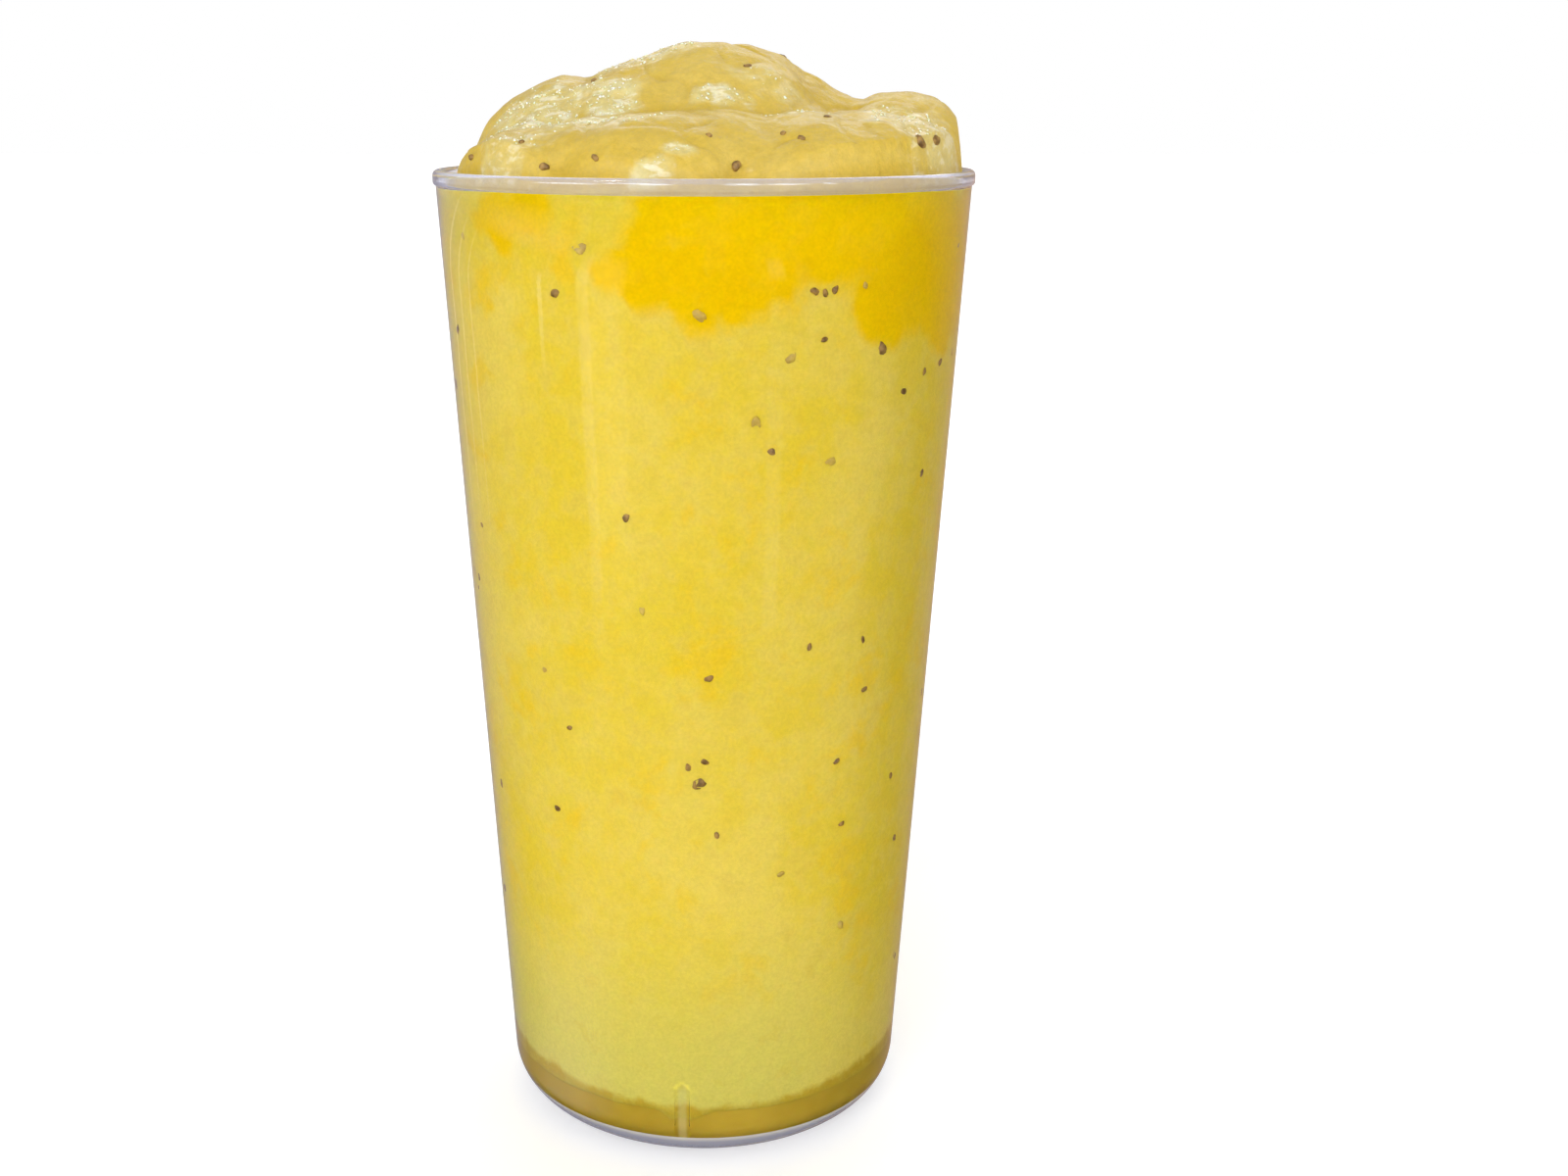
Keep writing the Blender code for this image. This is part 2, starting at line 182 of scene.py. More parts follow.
# Crushed seeds on the crown in view: x, y, size in millimetres
FRONT_SEEDS = (
    (6.7, -9.7, 1.6),
    (18.0, -25.0, 1.5),
    (11.2, -31.9, 1.4),
    (13.7, -33.6, 1.8),
    (31.6, -24.7, 2.5),
    (34.3, -20.9, 2.3),
    (4.5, -37.0, 1.9),
    (-15.2, -36.8, 1.5),
    (-22.6, -32.7, 2.0),
    (-26.2, -28.4, 1.1),
    (-16.9, -7.5, 1.7),
    (-34.4, -21.0, 1.6),
    (0.7, -34.4, 1.2),
)
BACK_SEED_COUNT = 12
BACK_SEED_SECTOR = (math.radians(20), math.radians(160))
BACK_SEED_REACH = (8.0, 35.0)
BACK_SEED_SIZES = (1.2, 2.3)
BACK_SEED_SIZE_TURN = 7.0
SEED_FIT = 0.88  # a seed's length as a share of the size that it seems to have
SEED_SINK = 0.02  # of its length, into the crown

# Crushed seeds behind the wall in view: azimuth in degrees, z and size in millimetres
WALL_SEEDS = (
    (-67.6, 143.2, 1.5), (-65.1, 142.9, 1.2), (-62.8, 143.3, 1.3), (-64.8, 136.2, 1.2),
    (-49.7, 134.2, 2.5), (-34.3, 129.7, 1.4), (-26.5, 130.4, 1.6), (-41.9, 127.3, 1.5),
    (-75.7, 120.2, 1.4), (-31.4, 113.5, 1.5), (-107.0, 110.2, 1.4), (-88.9, 85.5, 1.5),
    (-49.7, 89.0, 1.4), (-65.1, 89.5, 1.2), (-48.2, 80.7, 1.3), (-91.2, 68.2, 2.5),
    (-89.8, 71.9, 1.3), (-93.9, 70.9, 1.4), (-55.9, 69.7, 1.5), (-34.1, 63.6, 1.3),
    (-129.9, 60.8, 1.4), (-86.9, 59.6, 1.2), (-53.0, 58.6, 1.3), (-28.6, 51.4, 1.5),
    (-121.4, 142.7, 1.8), (-170.0, 152.0, 1.5), (-160.0, 95.0, 1.4), (-124.2, 75.3, 1.1),
)
# Seeds behind a veil of pulp: azimuth in degrees, z and size in millimetres
VEILED_SEEDS = (
    (-115.0, 149.3, 2.4), (-91.0, 140.0, 2.6), (-72.2, 133.7, 2.2), (-61.9, 118.1, 1.6),
    (-51.0, 40.4, 1.8), (-55.5, 143.7, 1.4), (-150.0, 150.0, 1.4), (-21.0, 148.2, 1.6),
    (-131.0, 84.0, 1.3), (-79.0, 124.5, 2.0), (-104.0, 96.0, 1.3), (-70.0, 52.0, 1.4),
)
WALL_SEED_COUNT = 84  # of the rest, all round
VEILED_SEED_COUNT = 40
VEILED_SEED_SECTOR = (math.radians(-20), math.radians(200))
WALL_SEED_PRESS = 0.24 * MM  # how far a seed reaches out of the pulp
WALL_SEED_SECTOR = (math.radians(-18), math.radians(208))
WALL_SEED_HEIGHTS = (26.0, 152.0)
WALL_SEED_SIZES = (1.0, 2.2)
WALL_SEED_STRAY = 6.0  # millimetres up or down from an even spread
WALL_SEED_TURNS = (5.1, 9.7)  # radians from one seed to the next, for its height and its size
WALL_SEED_SPIN = 0.37  # turns from one seed to the next

# Ice crystals: distance from the rim and stray in millimetres, radians from one to the next
ICE_EDGE, ICE_STRAY = 1.2, 1.5
ICE_KEEP_TURN, ICE_SIZE_TURN, ICE_SPIN = 12.9898, 78.233, 1.7
ICE_SIZES = (0.35, 1.0)  # as shares of the largest

# Paler, deeper and frothy pulp at the wall and on the crown. The crown's are darker than the wall's: painted
# shade against the stronger light on the crown.
BODY_SHADES = ((0.83, 0.68, 0.16), (0.86, 0.59, 0.0), (0.8, 0.71, 0.33))
CROWN_SHADES = ((0.7, 0.55, 0.17), (0.55, 0.355, 0.012), (0.76, 0.67, 0.31))
BODY_MOTTLE, CROWN_MOTTLE = 1.0, 0.5

WHITE, WARM, COOL = (1.0, 1.0, 1.0), (1.0, 0.93, 0.6), (0.62, 0.77, 1.0)

# Strips of light that the wall mirrors: azimuth, z, width and height in millimetres, power, colour
STRIP_DISTANCE = 0.25
STRIPS = (
    (-130.0, 76.0, 88.0, 160.0, 0.041, WARM),
    (-138.5, 76.0, 28.0, 160.0, 0.0125, WHITE),
    (-61.0, 42.0, 34.0, 90.0, 0.006, WHITE),
    (-158.5, 116.0, 11.0, 80.0, 0.005, WHITE),
    (155.0, 100.0, 6.0, 130.0, 0.0012, WHITE),
    (145.0, 100.0, 7.0, 130.0, 0.0012, WHITE),
    (134.0, 100.0, 7.0, 130.0, 0.0012, WHITE),
)
# Lamps for the lip alone, too high for the wall to mirror: azimuth, width in metres, power
LIP_LAMP_DISTANCE, LIP_LAMP_Z, LIP_LAMP_HEIGHT = 0.8, 0.32, 0.3
LIP_LAMPS = (
    (-147.0, 0.46, 5.5),
    (-109.5, 0.24, 2.9),
    (-74.8, 0.26, 3.3),
    (-56.7, 0.28, 3.2),
    (-39.0, 0.1, 0.9),
)
SOFT_EDGE, STRIP_EDGE, LIP_LAMP_EDGE = (10.0, 5.0), (6.0, 4.0), (4.0, 5.0)  # steepness across and along

# The photograph's camera: a frame of 1600 by 1200
CAMERA_PLACE = (0.0, -298.0 * MM, 169.1 * MM)
CAMERA_PITCH = math.radians(14.95)
CAMERA_LENS = 41.79
CAMERA_SHIFT = 0.0511


def outer_radius(z):
    """Radius of the straight outer wall line at height z."""
    return FOOT_RADIUS + TAPER * z


def inner_radius(z, inset=0.0, wall=1.3 * MM):
    """Radius of the straight inner wall line at height z, moved inwards by inset."""
    return outer_radius(z) - (wall + inset) * TAPER_LENGTH


def steps(low, high, count):
    """Evenly spaced values between two ends, without the first."""
    return [low + (high - low) * (i + 1) / count for i in range(count)]


def between(ends, share):
    """A value that lies this share of the way from the first end to the second."""
    return ends[0] + (ends[1] - ends[0]) * share


def smooth(low, high, value):
    """0 below low, 1 above high and a smooth rise between, or the reverse where low is above high."""
    t = min(1.0, max(0.0, (value - low) / (high - low)))
    return t * t * (3 - 2 * t)


def corner_arc(line_radius, floor_z, rounding, count):
    """Points of the arc from the wall line down to a floor, as (radius, height), wall end first."""
    centre_z = floor_z + rounding
    centre_r = line_radius(centre_z) - rounding * TAPER_LENGTH
    points = []
    for i in range(count + 1):
        angle = -TAPER_ANGLE + (TAPER_ANGLE - math.pi / 2) * i / count
        points.append((centre_r + rounding * math.cos(angle), centre_z + rounding * math.sin(angle)))
    return points


def tumbler_section():
    """The tumbler's fine section and, for each point, whether it is on the inside."""
    shoulder = LIP_TOP - LIP_ROUNDING
    lip_inner = inner_radius(shoulder)
    lip_outer = MOUTH_RADIUS + LIP_PROUD
    centre, half = (lip_inner + lip_outer) / 2, (lip_outer - lip_inner) / 2
    inside = list(reversed(corner_arc(inner_radius, FLOOR_Z, FLOOR_ROUNDING, 14)))
    floor = [(inside[0][0] * share, FLOOR_Z) for share in (0.0, 0.2, 0.4, 0.6, 0.8)]
    low = inside[-1][1]
    heights = steps(low, LUG_TOP + MM, 18) + steps(LUG_TOP + MM, shoulder, 14)
    inside += [(inner_radius(z), z) for z in heights]
    lip = []
    for i in range(1, 17):
        angle = math.pi * (1 - i / 16)
        lip.append((centre + half * math.cos(angle), shoulder + LIP_ROUNDING * math.sin(angle)))
    lip += [(lip_outer, z) for z in steps(shoulder, WALL_TOP + LIP_PROUD * 1.6, 3)]
    fillet = LIP_PROUD * 0.8
    for i in range(1, 7):
        angle = math.pi / 2 * i / 6
        x = lip_outer - fillet * (1 - math.cos(angle)) * 1.25
        lip.append((x, WALL_TOP + LIP_PROUD * 1.6 - fillet * 1.6 * math.sin(angle)))
    heel = corner_arc(outer_radius, 0.0, HEEL_RADIUS, 24)
    wall = [(outer_radius(z), z) for z in steps(WALL_TOP, heel[0][1], 12)][:-1]
    foot = [(STANDING_RING_INNER, 0.0)]
    for i in range(1, 7):
        share = i / 6
        foot.append((STANDING_RING_INNER - PUSH_UP_RUN * share, PUSH_UP * smooth(0, 1, share)))
    foot += [(foot[-1][0] * share, PUSH_UP) for share in (0.75, 0.5, 0.25, 0.0)]
    points = floor + inside + lip + wall + heel + foot
    shares = [0.0] * len(floor) + [lug_share(z) for _, z in inside]
    return points, shares + [0.0] * (len(points) - len(shares))


def lug_share(z):
    """1 where the lugs stand on the inside, fading to 0 above them."""
    return smooth(LUG_FADE[1], LUG_FADE[0], z)


def juice_section():
    """The settled juice's section, from its top centre down the wall and round to the floor."""
    floor_z = FLOOR_Z - JUICE_REACH
    arc = corner_arc(lambda z: inner_radius(z, -JUICE_REACH), floor_z, FLOOR_ROUNDING, 14)
    top_radius = inner_radius(JUICE_TOP, -JUICE_REACH)
    points = [(top_radius * share, JUICE_TOP) for share in (0.0, 0.3, 0.6, 0.85)]
    heights = [JUICE_TOP] + steps(JUICE_TOP, arc[0][1], 5)[:-1]
    points += [(inner_radius(z, -JUICE_REACH), z) for z in heights]
    points += arc
    points += [(arc[-1][0] * share, floor_z) for share in (0.75, 0.5, 0.25, 0.0)]
    return points, [1.0 if r > top_radius * 0.84 else 0.0 for r, _ in points]


def smoothie_reach(z):
    """How far the smoothie reaches into the wall: as little as the juice does where they meet."""
    return SMOOTHIE_REACH + (JUICE_REACH + 0.008 * MM - SMOOTHIE_REACH) * smooth(13 * MM, 11 * MM, z)


def smoothie_section(crown_rings, wall_rings):
    """The smoothie's section: crown from the middle out, then down the wall and in to its bottom centre."""
    rim = inner_radius(BRIM_Z, -SMOOTHIE_REACH)
    points = [(rim * (1 - (1 - i / crown_rings) ** 1.35), BRIM_Z) for i in range(crown_rings)]
    heights = [BRIM_Z] + steps(BRIM_Z, LUG_TOP + MM, wall_rings) + steps(LUG_TOP + MM, SMOOTHIE_BOTTOM, 12)
    heights.insert(-1, SMOOTHIE_BOTTOM + 0.03 * MM)  # keeps the shading flat down to the corner
    points += [(inner_radius(z, -smoothie_reach(z)), z) for z in heights]
    bottom = inner_radius(SMOOTHIE_BOTTOM)
    points += [(bottom * share, SMOOTHIE_BOTTOM) for share in (0.8, 0.4, 0.0)]
    shares = [0.0] * crown_rings + [lug_share(z) for z in heights] + [1.0, 0.0, 0.0]
    return points, shares


# Node helpers


def add_node(tree, kind, inputs=(), **settings):
    """Adds a node with these settings, and links or sets its inputs by name or number."""
    made = tree.nodes.new(kind)
    for name, value in settings.items():
        setattr(made, name, value)
    for key, value in dict(inputs).items():
        if isinstance(value, bpy.types.NodeSocket):
            tree.links.new(value, made.inputs[key])
        else:
            made.inputs[key].default_value = value
    return made


def maths(tree, operation, *values, clamp=False):
    """A Math node's result."""
    made = add_node(tree, "ShaderNodeMath", dict(enumerate(values)), operation=operation)
    made.use_clamp = clamp
    return made.outputs[0]


def ranged(tree, value, low=0.0, high=1.0, to_low=0.0, to_high=1.0):
    """A value brought from one range to another, and held within it."""
    ends = {"Value": value, "From Min": low, "From Max": high, "To Min": to_low, "To Max": to_high}
    return add_node(tree, "ShaderNodeMapRange", ends).outputs[0]


def mixed(tree, share, first, second):
    """The colour that lies this share of the way from the first to the second."""
    pair = [c if isinstance(c, bpy.types.NodeSocket) else (*c, 1) for c in (first, second)]
    return add_node(tree, "ShaderNodeMix", {0: share, 6: pair[0], 7: pair[1]}, data_type="RGBA").outputs[2]


def noise_node(tree, place, scale, **settings):
    """A noise texture's node at this scale, with its other inputs by name."""
    inputs = {"Vector": place, "Scale": scale}
    return add_node(tree, "ShaderNodeTexNoise", {**inputs, **{k.title(): v for k, v in settings.items()}})


def object_place(tree):
    """The place on the piece, in metres."""
    return add_node(tree, "ShaderNodeTexCoord").outputs["Object"]


def share_of(tree, name):
    """A share that the piece's mesh stores."""
    return add_node(tree, "ShaderNodeAttribute", attribute_name=name).outputs["Fac"]


def whole_maths(tree, operation, first, second):
    """An Integer Math node's result."""
    return add_node(tree, "FunctionNodeIntegerMath", {0: first, 1: second}, operation=operation).outputs[0]


def new_tree(name, kind, takes, gives):
    """A node group with these inputs and outputs: (group, its input node's outputs, its output node)."""
    tree = bpy.data.node_groups.new(name, kind)
    for label, socket_type, default in takes:
        socket = tree.interface.new_socket(label, in_out="INPUT", socket_type=socket_type)
        if default is not None:
            socket.default_value = default
    for label, socket_type in gives:
        tree.interface.new_socket(label, in_out="OUTPUT", socket_type=socket_type)
    return tree, tree.nodes.new("NodeGroupInput").outputs, tree.nodes.new("NodeGroupOutput")


def turning_tree():
    """Geometry nodes that turn a section about Z and press the lugs into its inside."""
    tree, given, result = new_tree("turned_shell", "GeometryNodeTree", (
        ("Section", "NodeSocketGeometry", None),
        ("Columns", "NodeSocketInt", 240),
        ("Crowding", "NodeSocketFloat", 0.7),
        ("Lug Count", "NodeSocketInt", LUG_COUNT),
        ("First Lug", "NodeSocketFloat", LUG_AZIMUTH),
        ("Lug Half Width", "NodeSocketFloat", LUG_HALF_WIDTH),
        ("Lug Depth", "NodeSocketFloat", LUG_DEPTH),
        ("Lug Low", "NodeSocketFloat", FLOOR_Z + LUG_FOOT + LUG_HALF_WIDTH),
        ("Lug High", "NodeSocketFloat", LUG_TOP - LUG_HALF_WIDTH),
        ("Material", "NodeSocketMaterial", None),
    ), (("Mesh", "NodeSocketGeometry"),))
    rows = add_node(tree, "GeometryNodeAttributeDomainSize", {0: given["Section"]}).outputs["Point Count"]
    columns = whole_maths(tree, "ADD", given["Columns"], 1)
    grid = add_node(tree, "GeometryNodeMeshGrid", {"Vertices X": columns, "Vertices Y": rows})
    index = add_node(tree, "GeometryNodeInputIndex").outputs[0]
    row = whole_maths(tree, "MODULO", index, rows)
    column = whole_maths(tree, "DIVIDE_FLOOR", index, rows)
    position = add_node(tree, "GeometryNodeInputPosition").outputs[0]
    point = add_node(tree, "GeometryNodeSampleIndex", {0: given["Section"], "Value": position, "Index": row},
                     data_type="FLOAT_VECTOR")
    split = add_node(tree, "ShaderNodeSeparateXYZ", {0: point.outputs[0]})
    radius, height = split.outputs["X"], split.outputs["Z"]
    named = add_node(tree, "GeometryNodeInputNamedAttribute", {"Name": "lug_share"}, data_type="FLOAT")
    share = add_node(tree, "GeometryNodeSampleIndex",
                     {0: given["Section"], "Value": named.outputs["Attribute"], "Index": row},
                     data_type="FLOAT").outputs[0]
    even = maths(tree, "MULTIPLY", maths(tree, "DIVIDE", column, given["Columns"]), TURN)
    wave = maths(tree, "SINE", maths(tree, "MULTIPLY", even, given["Lug Count"]))
    pull = maths(tree, "DIVIDE", maths(tree, "MULTIPLY", given["Crowding"], share), given["Lug Count"])
    offset = maths(tree, "SUBTRACT", even, maths(tree, "MULTIPLY", pull, wave))
    sector = maths(tree, "DIVIDE", math.pi, given["Lug Count"])
    nearest = maths(tree, "WRAP", offset, sector, maths(tree, "MULTIPLY", sector, -1.0))
    across = maths(tree, "DIVIDE", maths(tree, "MULTIPLY", nearest, radius), given["Lug Half Width"])
    above = maths(tree, "SUBTRACT", height, given["Lug High"])
    below = maths(tree, "SUBTRACT", given["Lug Low"], height)
    beyond = maths(tree, "MAXIMUM", maths(tree, "MAXIMUM", above, below), 0.0)
    along = maths(tree, "DIVIDE", beyond, given["Lug Half Width"])
    off_middle = maths(tree, "ADD", maths(tree, "MULTIPLY", across, across),
                       maths(tree, "MULTIPLY", along, along))
    swell = maths(tree, "SQRT", maths(tree, "MAXIMUM", maths(tree, "SUBTRACT", 1.0, off_middle), 0.0))
    pressed = maths(tree, "MULTIPLY", maths(tree, "MULTIPLY", swell, given["Lug Depth"]), share)
    drawn_in = maths(tree, "SUBTRACT", radius, maths(tree, "MINIMUM", pressed, radius))
    angle = maths(tree, "ADD", offset, given["First Lug"])
    place = add_node(tree, "ShaderNodeCombineXYZ", {
        "X": maths(tree, "MULTIPLY", drawn_in, maths(tree, "COSINE", angle)),
        "Y": maths(tree, "MULTIPLY", drawn_in, maths(tree, "SINE", angle)),
        "Z": height,
    })
    moved = add_node(tree, "GeometryNodeSetPosition", {0: grid.outputs["Mesh"], "Position": place.outputs[0]})
    closed = add_node(tree, "GeometryNodeMergeByDistance", {0: moved.outputs[0], "Distance": 1e-7})
    shaded = add_node(tree, "GeometryNodeSetShadeSmooth", {0: closed.outputs[0]})
    whole = add_node(tree, "GeometryNodeRealizeInstances", {0: shaded.outputs[0]})
    painted = add_node(tree, "GeometryNodeSetMaterial", {0: whole.outputs[0], "Material": given["Material"]})
    tree.links.new(painted.outputs[0], result.inputs[0])
    return tree


def chip_tree():
    """Geometry nodes that set an irregular chip on each point, by its facing, size and turn."""
    tree, given, result = new_tree("scattered_chips", "GeometryNodeTree", (
        ("Points", "NodeSocketGeometry", None),
        ("Width", "NodeSocketFloat", 0.7),
        ("Thickness", "NodeSocketFloat", 0.5),
        ("Roundness", "NodeSocketInt", 2),
        ("Chipping", "NodeSocketFloat", 0.25),
        ("Chipping Scale", "NodeSocketFloat", 900.0),
        ("Material", "NodeSocketMaterial", None),
    ), (("Mesh", "NodeSocketGeometry"),))

    def stored(name, data_type):
        node = add_node(tree, "GeometryNodeInputNamedAttribute", {"Name": name}, data_type=data_type)
        return node.outputs["Attribute"]

    pearl = add_node(tree, "GeometryNodeMeshIcoSphere", {"Radius": 0.5, "Subdivisions": given["Roundness"]})
    lie = add_node(tree, "FunctionNodeAlignRotationToVector", {"Vector": stored("facing", "FLOAT_VECTOR")},
                   axis="Z")
    spin = add_node(tree, "FunctionNodeAxisAngleToRotation",
                    {"Axis": (0, 0, 1), "Angle": stored("turn", "FLOAT")})
    rotation = add_node(tree, "FunctionNodeRotateRotation", {0: lie.outputs[0], 1: spin.outputs[0]},
                        rotation_space="LOCAL")
    shape = add_node(tree, "ShaderNodeCombineXYZ", {"X": 1.0, "Y": given["Width"], "Z": given["Thickness"]})
    scale = add_node(tree, "ShaderNodeVectorMath", {0: shape.outputs[0], "Scale": stored("size", "FLOAT")},
                     operation="SCALE")
    placed = add_node(tree, "GeometryNodeInstanceOnPoints", {
        "Points": given["Points"], "Instance": pearl.outputs["Mesh"],
        "Rotation": rotation.outputs[0], "Scale": scale.outputs[0],
    })
    whole = add_node(tree, "GeometryNodeRealizeInstances", {0: placed.outputs[0]})
    position = add_node(tree, "GeometryNodeInputPosition").outputs[0]
    grain = noise_node(tree, position, given["Chipping Scale"], detail=1.0)
    centred = add_node(tree, "ShaderNodeVectorMath", {0: grain.outputs["Color"], 1: (0.5, 0.5, 0.5)},
                       operation="SUBTRACT")
    sized = maths(tree, "MULTIPLY", given["Chipping"], stored("size", "FLOAT"))
    push = add_node(tree, "ShaderNodeVectorMath", {0: centred.outputs[0], "Scale": sized}, operation="SCALE")
    chipped = add_node(tree, "GeometryNodeSetPosition", {0: whole.outputs[0], "Offset": push.outputs[0]})
    shaded = add_node(tree, "GeometryNodeSetShadeSmooth", {0: chipped.outputs[0]})
    real = add_node(tree, "GeometryNodeRealizeInstances", {0: shaded.outputs[0]})
    painted = add_node(tree, "GeometryNodeSetMaterial", {0: real.outputs[0], "Material": given["Material"]})
    tree.links.new(painted.outputs[0], result.inputs[0])
    return tree


def shared_tree(maker, name):
    """A geometry node tree, built the first time that it is asked for."""
    return bpy.data.node_groups.get(name) or maker()


def grown(name, mesh, tree, inputs):
    """The plain mesh object that a geometry node tree makes of this mesh."""
    made = bpy.data.objects.new(name, mesh)
    bpy.context.scene.collection.objects.link(made)
    modifier = made.modifiers.new(tree.name, "NODES")
    modifier.node_group = tree
    for item in tree.interface.items_tree:
        if item.item_type == "SOCKET" and item.in_out == "INPUT" and item.name in inputs:
            modifier[item.identifier] = inputs[item.name]
    graph = bpy.context.evaluated_depsgraph_get()
    shaped = bpy.data.meshes.new_from_object(made.evaluated_get(graph))
    made.modifiers.clear()
    made.data = shaped
    shaped.name = name
    shaped.materials.clear()
    shaped.materials.append(inputs["Material"])
    return made


def point_outwards(mesh):
    """Turns a closed mesh's faces outwards."""
    work = bmesh.new()
    work.from_mesh(mesh)
    if work.calc_volume(signed=True) < 0:
        bmesh.ops.reverse_faces(work, faces=work.faces)
    work.to_mesh(mesh)
    work.free()


def turned(name, section, columns, material):
    """A closed piece turned from a section, with the lugs pressed into its inside."""
    points, shares = section
    mesh = bpy.data.meshes.new(name)
    mesh.from_pydata([(r, 0.0, z) for r, z in points], [(i, i + 1) for i in range(len(points) - 1)], [])
    mesh.attributes.new("lug_share", "FLOAT", "POINT").data.foreach_set("value", shares)
    tree = shared_tree(turning_tree, "turned_shell")
    made = grown(name, mesh, tree, {"Columns": columns, "Material": material})
    point_outwards(made.data)
    return made


def chips(name, places, material, **inputs):
    """Chips on these places, each (position, facing, size, turn)."""
    mesh = bpy.data.meshes.new(name)
    mesh.from_pydata([place[0] for place in places], [], [])
    facing = [value for place in places for value in place[1]]
    mesh.attributes.new("facing", "FLOAT_VECTOR", "POINT").data.foreach_set("vector", facing)
    mesh.attributes.new("size", "FLOAT", "POINT").data.foreach_set("value", [place[2] for place in places])
    mesh.attributes.new("turn", "FLOAT", "POINT").data.foreach_set("value", [place[3] for place in places])
    inputs = {key.replace("_", " ").title(): value for key, value in inputs.items()}
    return grown(name, mesh, shared_tree(chip_tree, "scattered_chips"), {"Material": material, **inputs})


# Shape of the crown


def lobe_height(x, y, lobe):
    """Height of one lobe above the brim at a point, falling to 0 at its edge and below 0 outside."""
    cx, cy, rx, ry, top, squareness = lobe
    reach = math.hypot((x / MM - cx) / rx, (y / MM - cy) / ry)
    rise = top * MM - BRIM_Z
    if reach >= 1:
        return rise * (1 - reach)
    return rise * math.sqrt(1 - reach**squareness)


def blended_height(x, y):
    """The lobes flowed together with a smooth maximum, and more slush run into the creases between them."""
    heights = [lobe_height(x, y, lobe) for lobe in LOBES]
    highest = max(heights)
    narrow, wide = (blend * math.log(sum(math.exp((h - highest) / blend) for h in heights))
                    for blend in (LOBE_BLEND, CREASE_BLEND))
    return highest + narrow + max(0.0, wide - narrow - CREASE_START)


def layered(place, layers):
    """The sum of noise layers at a place in millimetres, in metres."""
    return sum(noise.noise(place * scale) * height * MM for scale, height in layers)


def folds(place):
    """Soft creases where the slush has folded over, in metres: 0 between them and negative in them."""
    warp = Vector((noise.noise(place * 0.13), noise.noise(place * 0.13 + Vector((31, 7, 5))), 0)) * FOLD_WARP
    ridge = 1 - abs(noise.noise((place + warp) * FOLD_SCALE)) * 7
    return -FOLD_DEPTH * MM * max(0.0, ridge) ** 2


def crown_height(x, y, fine):
    """Height of the smoothie's free surface at a point inside the lip, with its slush where fine is 1."""
    rim = inner_radius(BRIM_Z, RIM_GAP)
    edge = max(0.0, 1 - (math.hypot(x, y) / rim) ** 2)
    hold = min(1.0, EDGE_STEEPNESS * math.sqrt(edge))
    base = blended_height(x, y)
    place = Vector((x, y, base)) / MM
    height = base + layered(place, RELIEF_LAYERS)
    if fine:
        rough = 0.25 + 1.0 * froth_at(x, y)
        height += folds(place) + layered(place, SLUSH_LAYERS) * rough
    return min(BRIM_Z + hold * max(0.0, height), SMOOTHIE_BOX[1].z)


def hollow_shade_at(x, y):
    """How much painted shade a point of the crown gets from lying low in a crease, from 0 to 1."""
    around = 0.0
    for step_x, step_y in ((HOLLOW_STEP, 0), (-HOLLOW_STEP, 0), (0, HOLLOW_STEP), (0, -HOLLOW_STEP)):
        around += crown_height(x + step_x, y + step_y, 1) / 4
    return smooth(-0.1 * MM, HOLLOW_DEPTH, around - crown_height(x, y, 1)) * HOLLOW_SHADE_SHARE


def froth_at(x, y):
    """How frothy the crown is at a point, from 0 to 1."""
    x, y = x / MM, y / MM
    ragged = 0.45 * noise.noise(Vector((x, y, 3.0)) * 0.35) + 0.25 * noise.noise(Vector((x, y, 9.0)) * 0.9)
    most = 0.0
    for cx, cy, rx, ry, strength in FROTH_AND_GLINT_PATCHES:
        most = max(most, strength * smooth(1.2, 0.55, math.hypot((x - cx) / rx, (y - cy) / ry) + ragged))
    return most


def juice_at(x, y, z):
    """How much clear juice shows behind the wall at a point, from 0 to 1."""
    place = Vector((x, y, z)) / MM
    azimuth = math.degrees(math.atan2(y, x)) + 9 * noise.noise(place * 0.09) + 3 * noise.noise(place * 0.3)
    height = z / MM + 7 * noise.noise(place * 0.07 + Vector((50, 0, 0))) + 2 * noise.noise(place * 0.25)
    most = 0.0
    for middle, level, reach, rise, strength in JUICE_POCKETS:
        sideways = (azimuth - middle + 180) % 360 - 180
        most = max(most, strength * smooth(1.25, 0.7, math.hypot(sideways / reach, (height - level) / rise)))
    return most


def off_lug(x, y):
    """How far a point is round the wall from the nearest lug's middle: in metres, and in degrees."""
    sector = math.pi / LUG_COUNT
    angle = (math.atan2(y, x) - LUG_AZIMUTH + sector) % (2 * sector) - sector
    return abs(angle) * math.hypot(x, y), math.degrees(abs(angle))


def rib_light_at(x, y, z):
    """How much painted light a lug's column of plastic throws on what is behind it, from 0 to 1: a paler
    streak.
    """
    across = off_lug(x, y)[0] / LUG_HALF_WIDTH
    return smooth(0.75, 0.3, across) * smooth(LUG_TOP - 0.4 * MM, LUG_TOP - 2.2 * MM, z)


def cap_glint_at(x, y, z):
    """How much painted highlight a lug's rounded top gets, from 0 to 1: an arc over the lug's column."""
    across = off_lug(x, y)[0] / LUG_HALF_WIDTH
    along = (z - LUG_TOP + LUG_HALF_WIDTH) / LUG_HALF_WIDTH
    if along < -0.2:
        return 0.0
    ring = math.hypot(across, along)
    return smooth(0.45, 0.75, ring) * smooth(1.25, 0.95, ring)


def amber_at(x, y, z):
    """How much the settled juice has soaked into the slush at the wall, from 0 to 1: more to either side."""
    sideways = (x / inner_radius(z)) ** 2
    level = JUICE_TOP + AMBER_RISE * sideways + WAVER * noise.noise(Vector((x, y, 0)) / MM * 0.2)
    return smooth(level + AMBER_FADE, level - AMBER_FADE, z)


